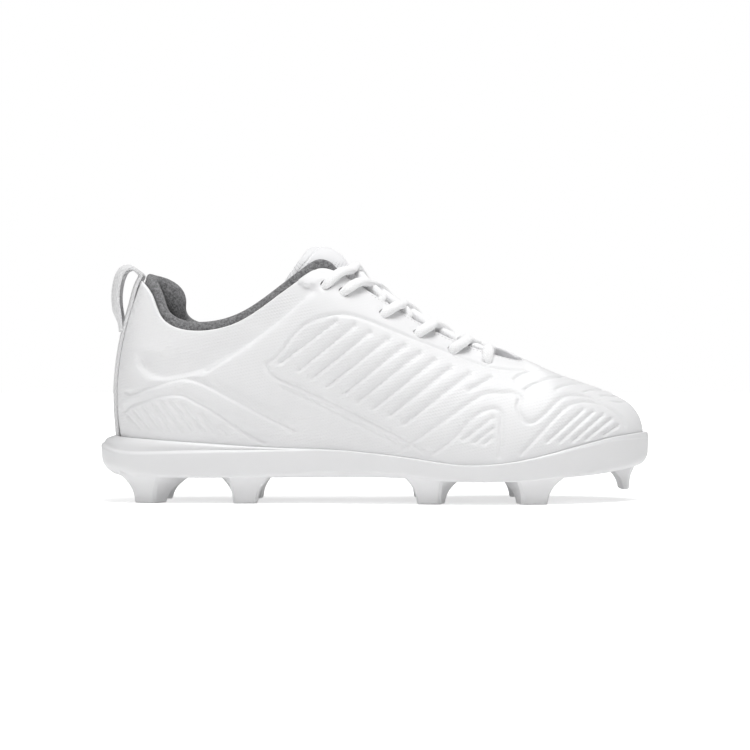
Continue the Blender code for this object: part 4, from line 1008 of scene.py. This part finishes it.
def buildOutsole():
    columns = shoe.count * soleSizes["perStation"]
    knots = np.arange(columns + 1) / soleSizes["perStation"]
    section = list(shoe.cupSection(knots))
    # round the heel a bulging shelf and a groove lie between the rim and the side
    heel = smoothStep((soleSizes["shelfEnd"] - shoe.station(knots)) / soleSizes["shelfFade"])[:, None]
    lip, edge = section[5], section[6]
    out = shoe.outward(knots)
    up = np.array([0, 0, 1.0])
    shelf = lip + (edge - lip) * soleSizes["shelfShare"]
    shelf = shelf + up * (lip - edge)[:, 2:] * soleSizes["shelfBulge"] * heel
    groove = edge - out * (soleSizes["grooveLeast"] + soleSizes["groove"] * heel)
    groove = groove + up * soleSizes["grooveRise"] * (1 + heel)
    # the lower edge swells, and under the arch it steps in
    fromArch = np.abs(shoe.station(knots) - soleSizes["archPlace"]) / soleSizes["archReach"]
    arch = smoothStep(1 - fromArch)[:, None]
    crease = section[7] + out * soleSizes["creaseOut"]
    step = crease - out * soleSizes["archStep"] * arch
    swell = (crease + section[8]) / 2 + (out - up) * soleSizes["belly"]
    section[6:8] = [shelf, groove, edge, crease, swell * (1 - arch) + step * arch]
    rings = roundedProfile(section, soleSizes["radii"])
    mirrored = columns - np.arange(columns + 1)
    shares = np.linspace(0, 1, soleSizes["capSteps"])
    bed, plate = rings[0], rings[-1]
    bedRings = [bed + (bed[mirrored] - bed) * 0.5 * (1 - share) for share in shares]
    plateRings = [plate + (plate[mirrored] - plate) * 0.5 * share for share in shares]
    points = np.stack(bedRings + rings[1:-1] + plateRings, axis=1)
    mesh = gridMesh("outsole", columns, points.shape[1] - 1, points, merge=2e-6)
    piece = addPiece("outsole_moulded", mesh, [soleSkin], ["outsole"])
    bm = bmesh.new()
    tip = soleSizes["tipWidth"] / 2
    for row in studRows:
        x = (row[0] - 0.5) * form["length"]
        halfLength = row[1] * form["length"] / 2
        for side in (-1, 1):
            behind, ahead, edge = (plateEdge(x + step, side) for step in (-halfLength, halfLength, 0))
            turn = math.atan2(ahead[1] - behind[1], ahead[0] - behind[0])
            middle = (x, edge[1] - side * (soleSizes["inset"] + tip), 0)
            bm.from_mesh(studForm(row, tip, soleSizes["rootOut"], soleSizes["rootIn"], 0.0,
                                  edge[2] + soleSizes["sink"], middle, turn, side))
    toeX = (toeStud[0] - 0.5) * form["length"]
    rootZ = plateEdge(toeX, -1)[2] + soleSizes["sink"]
    bm.from_mesh(studForm(toeStud, soleSizes["toeWidth"] / 2, soleSizes["toeRoot"], soleSizes["toeRoot"],
                          soleSizes["toeClear"], rootZ, (toeX, form["ridgeShift"] * form["width"], 0), 0.0, 1))
    bmesh.ops.recalc_face_normals(bm, faces=bm.faces)
    useBoolean(piece, addObject("studs", meshOf("studs", bm)), "UNION")
    piece.data.shade_smooth()
    piece.data.set_sharp_from_angle(angle=math.radians(soleSizes["sharp"]))
    return piece


outsole = buildOutsole()
print("outsole", len(outsole.data.polygons))

# collar lining
liningSizes = {"columns": 260, "crest": 12, "levels": 60, "wallShares": 10, "deepest": 1.0, "highest": 0.06,
               "rise": 0.0035, "endRise": 0.35, "heelDip": 0.3, "heelSpread": 0.9, "lean": 1.6,
               "endThick": 0.45, "thinning": 0.72, "gaps": 1.6, "farPad": 0.0080, "nearPad": 0.0020,
               "padPlace": 3.1, "padSpread": 1.5, "farRise": 0.0060, "farRisePlace": 2.6, "farRiseSpread": 1.1,
               "farLean": 2, "end": 9.75, "ease": 0.5, "crestStart": 0.12, "crestPower": 0.8, "closed": 0.02}


def buildLining():
    sizes = liningSizes
    columns = sizes["columns"]
    place = np.linspace(-sizes["end"], sizes["end"], columns + 1)
    knots = -place % shoe.count
    heights = np.linspace(1, 0.4, sizes["levels"])
    wall = shoe.wall(knots, heights)
    normals = shoe.wallNormals(knots, heights)
    run = runDown(wall)
    rimRun = np.gradient(wall[:, 0], axis=0)
    back = form["wall"] + sizes["gaps"] * form["gap"]
    points = []
    for index, spot in enumerate(place):
        normal = normals[index, 0]
        across = unit(np.cross(rimRun[index], normal))
        across = across if across[2] > 0 else -across
        up = unit(unit(wall[index, 0] - wall[index, 3]) + np.array([0, 0, sizes["lean"]]))
        ease = min(1.0, (sizes["end"] - abs(spot)) / sizes["ease"])
        ease = ease * (2 - ease)
        rise = sizes["rise"] * (sizes["endRise"] + (1 - sizes["endRise"]) * ease)
        rise *= 1 - sizes["heelDip"] * bell(spot, 0, sizes["heelSpread"])
        thick = form["liningThick"] * (sizes["endThick"] + (1 - sizes["endThick"]) * ease)
        pad = bell(abs(spot), sizes["padPlace"], sizes["padSpread"])
        thick += (sizes["farPad"] if spot > 0 else sizes["nearPad"]) * pad
        if spot > 0:
            extra = bell(spot, sizes["farRisePlace"], sizes["farRiseSpread"])
            up = unit(up + across * sizes["farLean"] * extra)
            rise += sizes["farRise"] * extra
        sag = np.array([0, 0, (back + thick / 2) * max(normal[2], 0) * ease])
        outside, inside = [], []
        for share in np.linspace(sizes["deepest"], sizes["highest"], sizes["wallShares"]):
            far = share * form["liningDepth"]
            face = spotAt(far, run[index], wall[index])
            turn = unit(spotAt(far, run[index], normals[index]))
            outside.append(face - turn * back)
            inside.append(face - turn * (back + thick * (1 - sizes["thinning"] * share**2)))
        centre = wall[index, 0] - normal * (back + thick / 2)
        crest = [centre + normal * math.cos(angle) * thick * 0.5
                 + (up * rise + sag) * math.sin(angle) ** sizes["crestPower"]
                 for angle in np.linspace(sizes["crestStart"], math.pi - sizes["crestStart"], sizes["crest"])]
        points.append(outside + crest + inside[::-1] + outside[:1])
    points = np.array(points)
    for end in (0, -1):
        middle = points[end].mean(axis=0)
        points[end] = middle + (points[end] - middle) * sizes["closed"]
    uv = plane(runOf(points[:, sizes["crest"]]), runOf(points[columns // 3]))
    mesh = gridMesh("collar_lining", columns, points.shape[1] - 1, points, uv=uv)
    piece = addPiece("collar_roll", mesh, [greyKnit], ["collar_lining"])
    return piece


lining = buildLining()
print("lining", len(lining.data.polygons))

# tongue
tongueSizes = {"along": 150, "across": 72, "cornerLength": 0.20, "cornerCut": 0.30, "probe": 0.004, "crown": 40,
               "endRound": 0.06, "endThin": 0.9, "sideThin": 0.90, "seam": 0.0006, "binding": 0.075,
               "bindingSpread": 0.006, "sideSeam": 0.8, "sideSeamPlace": 0.80, "sideSeamSpread": 0.03,
               "puff": 0.0005, "puffWide": 0.7, "puffFrom": 0.5, "puffFade": 0.2,
               "meshFrom": 0.004, "meshTo": 0.0165, "meshTop": 0.006, "meshFade": 0.002}


def buildTongue():
    sizes = tongueSizes
    shape = (sizes["along"] + 1, sizes["across"] + 1)
    along, side = np.meshgrid(np.linspace(0, 1, shape[0]), np.linspace(-1, 1, shape[1]), indexing="ij")
    corner = np.maximum(0, 1 - along / sizes["cornerLength"])
    over = side * (1 - sizes["cornerCut"] * corner**2)
    point, thick = tongueAt(along, over)
    probe = sizes["probe"]
    ahead = tongueAt(np.minimum(along + probe, 1), over)[0] - tongueAt(np.maximum(along - probe, 0), over)[0]
    wide = tongueAt(along, np.minimum(over + probe, 1))[0] - tongueAt(along, np.maximum(over - probe, -1))[0]
    normal = unit(np.cross(wide, ahead))
    fromRidge = (point[:, 1] - shoe.ridge(point[:, 0])) * sizes["crown"]
    outwards = np.stack([np.zeros(len(point)), fromRidge, np.ones(len(point))], axis=1)
    normal[(normal * outwards).sum(axis=1) < 0] *= -1
    along, side = along.ravel(), np.abs(side).ravel()
    fromEnd = np.maximum(0, 1 - along / sizes["endRound"])
    full = thick * np.sqrt(np.maximum(0, 1 - fromEnd**2 * sizes["endThin"]))
    full = full * np.sqrt(np.maximum(0, 1 - side**6 * sizes["sideThin"]))
    # folded binding at the top end with a sunk seam line, and soft quilting below it
    seam = bell(along, sizes["binding"], sizes["bindingSpread"])
    seam = seam + sizes["sideSeam"] * bell(side, sizes["sideSeamPlace"], sizes["sideSeamSpread"])
    puff = sizes["puff"] * np.exp(-(side / sizes["puffWide"]) ** 4)
    puff = puff * smoothStep((sizes["puffFrom"] - along) / sizes["puffFade"])
    sunk = puff - sizes["seam"] * np.minimum(seam, 1)
    outer = (point - normal * ((thick - full) * 0.5 - sunk)[:, None]).reshape(*shape, 3)
    inner = (point - normal * ((thick + full) * 0.5)[:, None]).reshape(*shape, 3)
    middle = (outer + inner) / 2
    points = np.concatenate([outer, inner[:, ::-1], outer[:, :1]], axis=1)
    cap = np.concatenate([middle, middle[:, ::-1], middle[:, :1]], axis=1)
    points = np.concatenate([cap[:1], points, cap[-1:]], axis=0)
    run = runOf(outer[:, sizes["across"] // 2])
    uv = plane(np.concatenate([[0], run, run[-1:]]), runOf(points[sizes["along"] // 2]))
    mesh = gridMesh("tongue", points.shape[0] - 1, points.shape[1] - 1, points, uv=uv, merge=2e-6)
    piece = addPiece("tongue_padded", mesh, [tongueSkin], ["tongue"])
    top = point[:, 2].max() - sizes["meshTop"]

    def openMesh(places):
        away = np.abs(places[:, 1] - shoe.ridge(places[:, 0]))
        steps = (away - sizes["meshFrom"], sizes["meshTo"] - away, top - places[:, 2])
        return np.prod([smoothStep(step / sizes["meshFade"]) for step in steps], axis=0)

    setAttribute(mesh, "openMesh", openMesh)
    return piece


tongue = buildTongue()
print("tongue", len(tongue.data.polygons))

# lace
laceSizes = {"radius": 0.0026, "flat": 0.74, "around": 18, "step": 0.0006, "dive": 0.0030, "over": 0.0042,
             "barBow": 0.0022, "bendAhead": 0.0062, "bendAcross": 0.0036, "samples": 46, "tighten": 60,
             "smooth": 3, "hang": 0.0052, "tuck": 0.0006, "lead": 0.0003, "start": 0.2, "lift": 0.35,
             "liftOver": 0.9, "liftUnder": -0.5, "plunge": 0.6, "underEdge": 1.6, "underShare": 0.45,
             "picks": (6, 12, 19, 26, 32, 38), "divePick": 42, "barPicks": (5, 12, 19, 26, 33, 40),
             "ease": 0.6, "fine": 6000, "middle": (0, 0, 0.045), "smoothPath": 6, "smoothTurn": 12}
throatKnots = np.concatenate([shoe.place(np.linspace(8.2, 15.2, 240), side) for side in (-1, 1)])
faces = np.concatenate([tongueAt(*np.meshgrid(np.linspace(0, 1, 201), np.linspace(-1, 1, 97), indexing="ij"))[0],
                        shoe.wall(throatKnots, np.linspace(0.7, 1, 50)).reshape(-1, 3)])


def contactHeight(spots, radius):
    # lowest height at which a ball of this radius rests on the tongue and the upper at each spot in plan
    heights = []
    for spot in np.atleast_2d(spots):
        away = (faces[:, 0] - spot[0]) ** 2 + (faces[:, 1] - spot[1]) ** 2
        near = away < radius**2
        heights.append((faces[near, 2] + np.sqrt(radius**2 - away[near])).max() if near.any() else -1.0)
    return np.array(heights)


def meeting(start, end, otherStart, otherEnd):
    run = (end - start)[:2]
    other = (otherEnd - otherStart)[:2]
    gap = (otherStart - start)[:2]
    return start[:2] + run * (gap[0] * other[1] - gap[1] * other[0]) / (run[0] * other[1] - run[1] * other[0])


def averaged(points, share=1.0):
    # each inner point drawn towards the middle of its neighbours
    return points[1:-1] * (1 - share) + (points[:-2] + points[2:]) * share / 2


def tautRun(corners, lifts, radius):
    # a strand drawn tight over the shoe through corners in plan, with lifts over the strands below it
    corners = np.array([corner[:2] for corner in corners])
    along = runOf(corners)
    where = np.linspace(0, along[-1], laceSizes["samples"])
    plan = naturalCurve(along, corners)(where)
    low = contactHeight(plan, radius)
    low = low + sum(lift * bell(where, place, laceSizes["over"]) for place, lift in zip(along, lifts))
    height = low.copy()
    for _ in range(laceSizes["tighten"]):
        height[1:-1] = np.maximum(low[1:-1], averaged(height))
    for _ in range(laceSizes["smooth"]):
        height[1:-1] = averaged(height, 0.5)
    return np.concatenate([plan, height[:, None]], axis=1)


def laceRoute():
    # one lace: up through a hole, over to the far side, under the far edge and up through the next hole
    sizes = laceSizes
    half = sizes["radius"] * sizes["flat"]
    last = len(eyeletRows) - 1
    starts = [[hole[0] for hole in pair] for pair in holes]
    inward = np.array([0, sizes["dive"], 0])
    dives = []
    for _, _, reach in eyeletRows:
        edges = [shoe.top([float(shoe.place(reach, side))])[0] for side in (-1, 1)]
        dives.append([edges[0] + inward, edges[1] - inward])
    middles = [sum([*start, *dive]) / 4 for start, dive in zip(starts, dives)]
    chains = []
    for first in (0, 1):
        route, side = [], first
        for index in range(last + 1):
            centre, normal = holes[index][side]
            route.append(centre - normal * sizes["hang"])
            if index == last:
                route.append(centre - normal * sizes["tuck"])
                break
            far = 1 - side
            bend = centre[:2] + np.array([sizes["bendAhead"], sizes["bendAcross"] * (far - side)])
            corners = [centre[:2], bend, middles[index][:2], dives[index][far][:2]]
            lifts = [0, 0, half * (sizes["liftUnder"] if side else sizes["liftOver"]), 0]
            if index:
                corners.insert(2, meeting(middles[index - 1], dives[index - 1][side], centre, middles[index]))
                lifts.insert(2, sizes["lift"] * half)
            run = tautRun(corners, lifts, half)
            way = unit(run[sizes["picks"][0]] - run[0])
            route.append(centre - normal * half * sizes["start"] + way * sizes["lead"])
            route.extend(run[place] for place in sizes["picks"])
            route.append(run[sizes["divePick"]] - np.array([0, 0, half * sizes["plunge"]]))
            nextCentre, nextNormal = holes[index + 1][far]
            toward = nextCentre + (dives[index][far] - nextCentre) * sizes["underShare"]
            route.append(toward - nextNormal * (form["wall"] + half * sizes["underEdge"]))
            side = far
        chains.append((route, centre))
    (firstRoute, firstEnd), (secondRoute, secondEnd) = chains
    middle = (firstEnd + secondEnd) / 2 + np.array([sizes["barBow"], 0, 0])
    run = tautRun([firstEnd, middle, secondEnd], [0, 0, 0], half)
    return firstRoute + [run[place] for place in sizes["barPicks"]] + secondRoute[::-1]


def sweepLace(route):
    # a flat oval cord along the route, and its length
    sizes = laceSizes
    route = np.asarray(route, float)
    steps = np.linalg.norm(np.diff(route, axis=0), axis=1) ** sizes["ease"]
    along = np.concatenate([[0], np.cumsum(steps)])
    fine = naturalCurve(along, route)(np.linspace(0, along[-1], sizes["fine"]))
    length = runOf(fine)
    where = np.linspace(0, length[-1], int(length[-1] / sizes["step"]) + 1)
    path = spotAt(where, length, fine)
    for _ in range(sizes["smoothPath"]):
        path[1:-1] = averaged(path, 0.5)
    heading = unit(np.gradient(path, axis=0))
    away = unit((path - np.array(sizes["middle"])) * np.array([0, 1, 1]))
    up = np.cross(unit(np.cross(heading, away)), heading)
    for _ in range(sizes["smoothTurn"]):
        up[1:-1] = unit(averaged(up, 0.5))
    side = unit(np.cross(heading, up))
    up = np.cross(side, heading)
    angles = np.linspace(0, 2 * math.pi, sizes["around"] + 1)
    wide = side[:, None] * np.cos(angles)[None, :, None]
    high = up[:, None] * np.sin(angles)[None, :, None] * sizes["flat"]
    points = path[:, None] + (wide + high) * sizes["radius"]
    ends = path[[0, -1], None].repeat(len(angles), 1)
    points = np.concatenate([ends[:1], points, ends[1:]])
    uv = plane(np.concatenate([[0], where, where[-1:]]), angles * sizes["radius"])
    return gridMesh("lace", len(points) - 1, sizes["around"], points, uv=uv), length[-1]


laceMesh, laceLength = sweepLace(laceRoute())
addPiece("lace_cord", laceMesh, [laceSkin], ["lace"])
print("lace", round(laceLength, 3), len(laceMesh.polygons))

# pull loop
loopSizes = {"width": 0.0130, "thick": 0.0017, "height": 0.0250, "seat": 0.86, "along": 260, "across": 24,
             "bow": 0.0019, "bowStart": 0.012, "bowEnd": 0.008, "tuck": 0.0016, "lift": 0.8, "seatIn": 0.96,
             "tail": (0.0002, -0.0020), "sideRound": 0.55, "faceRound": 0.28, "levels": 15, "heel": 28,
             "closed": 0.02}
loopPath = ((0.02, 0.05), (-0.06, 0.13), (-0.16, 0.175), (-0.25, 0.15), (-0.32, 0.05),
            (-0.37, -0.14), (-0.385, -0.31), (-0.375, -0.48), (-0.35, -0.64))


def powered(values, power):
    return np.sign(values) * np.abs(values) ** power


def buildLoop():
    sizes = loopSizes
    heights = np.linspace(0.02, 1.0, sizes["levels"])
    heel = sizes["heel"]
    around = shoe.wall(np.linspace(-1.4, 1.4, 2 * heel + 1), heights)[::-1]
    half = sizes["thick"] / 2
    wall = shoe.wall([0.0], heights)[0]
    normals = shoe.wallNormals([0.0], heights)[0]
    strip = (wall + normals * half * sizes["lift"])[:, [0, 2]]
    strip[0, 1] = shoe.rim([0.0])[0, 2] - sizes["tuck"]
    top = strip[-1]
    rootZ = top[1] - sizes["seat"] * sizes["height"]
    root = np.array([np.interp(rootZ, strip[:, 1], strip[:, 0]), rootZ])
    seat = root - np.array([sizes["thick"] * sizes["seatIn"], 0])
    turned = [top + np.array(share) * sizes["height"] for share in loopPath]
    control = np.array([*strip[::2], *turned, seat, seat + np.array(sizes["tail"])])
    along = runOf(control)
    where = np.linspace(0, along[-1], sizes["along"] + 1)
    path = naturalCurve(along, control)(where)
    heading = unit(np.gradient(path, axis=0))
    normal = np.stack([heading[:, 1], -heading[:, 0]], axis=1)
    free = (along[len(strip[::2]) - 1], along[-2])
    bowShare = smoothStep((where - free[0]) / sizes["bowStart"]) * smoothStep((free[1] - where) / sizes["bowEnd"])
    # a flat section with round edges
    angles = np.linspace(0, 2 * math.pi, sizes["across"] * 2 + 1)
    acrossShare = powered(np.cos(angles), sizes["sideRound"]) * 0.5
    thickShare = powered(np.sin(angles), sizes["faceRound"])
    across = acrossShare * sizes["width"]
    points = np.zeros((len(path), len(angles), 3))
    for index, (x, z) in enumerate(path):
        level, wide = (np.array([np.interp(z, around[heel, :, 2], column[:, axis]) for column in around])
                       for axis in (0, 1))
        bend = np.interp(across, wide, level) - level[heel]
        # the free loop bows outward across its width
        bow = bowShare[index] * sizes["bow"] * (1 - (2 * acrossShare) ** 2)
        offset = normal[index][None, :] * (half * thickShare + bow)[:, None]
        points[index] = np.stack([x + offset[:, 0] + bend, across + shoe.shift[1], z + offset[:, 1]], axis=1)
    ends = points[[0, -1]]
    middle = ends.mean(axis=1, keepdims=True)
    ends = middle + (ends - middle) * sizes["closed"]
    points = np.concatenate([ends[:1], points, ends[1:]])
    run = runOf(path)
    uv = plane(np.concatenate([[0], run, run[-1:]]), runOf(points[sizes["along"] // 2]))
    mesh = gridMesh("pull_loop", len(points) - 1, len(angles) - 1, points, uv=uv)
    return addPiece("pull_loop_webbing", mesh, [webSkin], ["pull_loop"])


pullLoop = buildLoop()
print("pull loop", len(pullLoop.data.polygons))

# stitches along the throat
stitchSizes = {"pitch": 0.0017, "length": 0.0012, "radius": 0.00013, "setBack": 0.0026, "lift": 0.00008,
               "from": 9.25, "to": 15.6, "samples": 500, "levels": 40, "probe": 0.0004}


def buildStitches():
    sizes = stitchSizes
    bm = bmesh.new()
    size = Matrix.Diagonal((sizes["length"] / 2, sizes["radius"], sizes["radius"], 1))
    for side in (-1, 1):
        knots = shoe.place(np.linspace(sizes["from"], sizes["to"], sizes["samples"]), side)
        heights = np.linspace(1, 0.85, sizes["levels"])
        wall = shoe.wall(knots, heights)
        down = runDown(wall)
        line, turn = (np.array([spotAt(sizes["setBack"], *pair) for pair in zip(down, rows)])
                      for rows in (wall, shoe.wallNormals(knots, heights)))
        run = runOf(line)
        for where in np.arange(sizes["pitch"], run[-1], sizes["pitch"]):
            spot = spotAt(where, run, line)
            ahead = Vector(unit(spotAt(where + sizes["probe"], run, line) - spot))
            normal = unit(spotAt(where, run, turn))
            across = Vector(normal).cross(ahead).normalized()
            axes = Matrix((ahead, across, Vector(normal))).transposed().to_4x4()
            lifted = Matrix.Translation(spot + normal * sizes["lift"])
            bmesh.ops.create_icosphere(bm, subdivisions=1, radius=1, matrix=lifted @ axes @ size)
    bmesh.ops.recalc_face_normals(bm, faces=bm.faces)
    mesh = meshOf("throat_stitches", bm)
    mesh.shade_smooth()
    return addPiece("throat_stitches", mesh, [threadSkin])


stitches = buildStitches()
print("stitches", len(stitches.data.polygons))

# insole keeps its own shape
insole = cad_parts["insole"]
insole.data.materials.clear()
insole.data.materials.append(innerSkin)
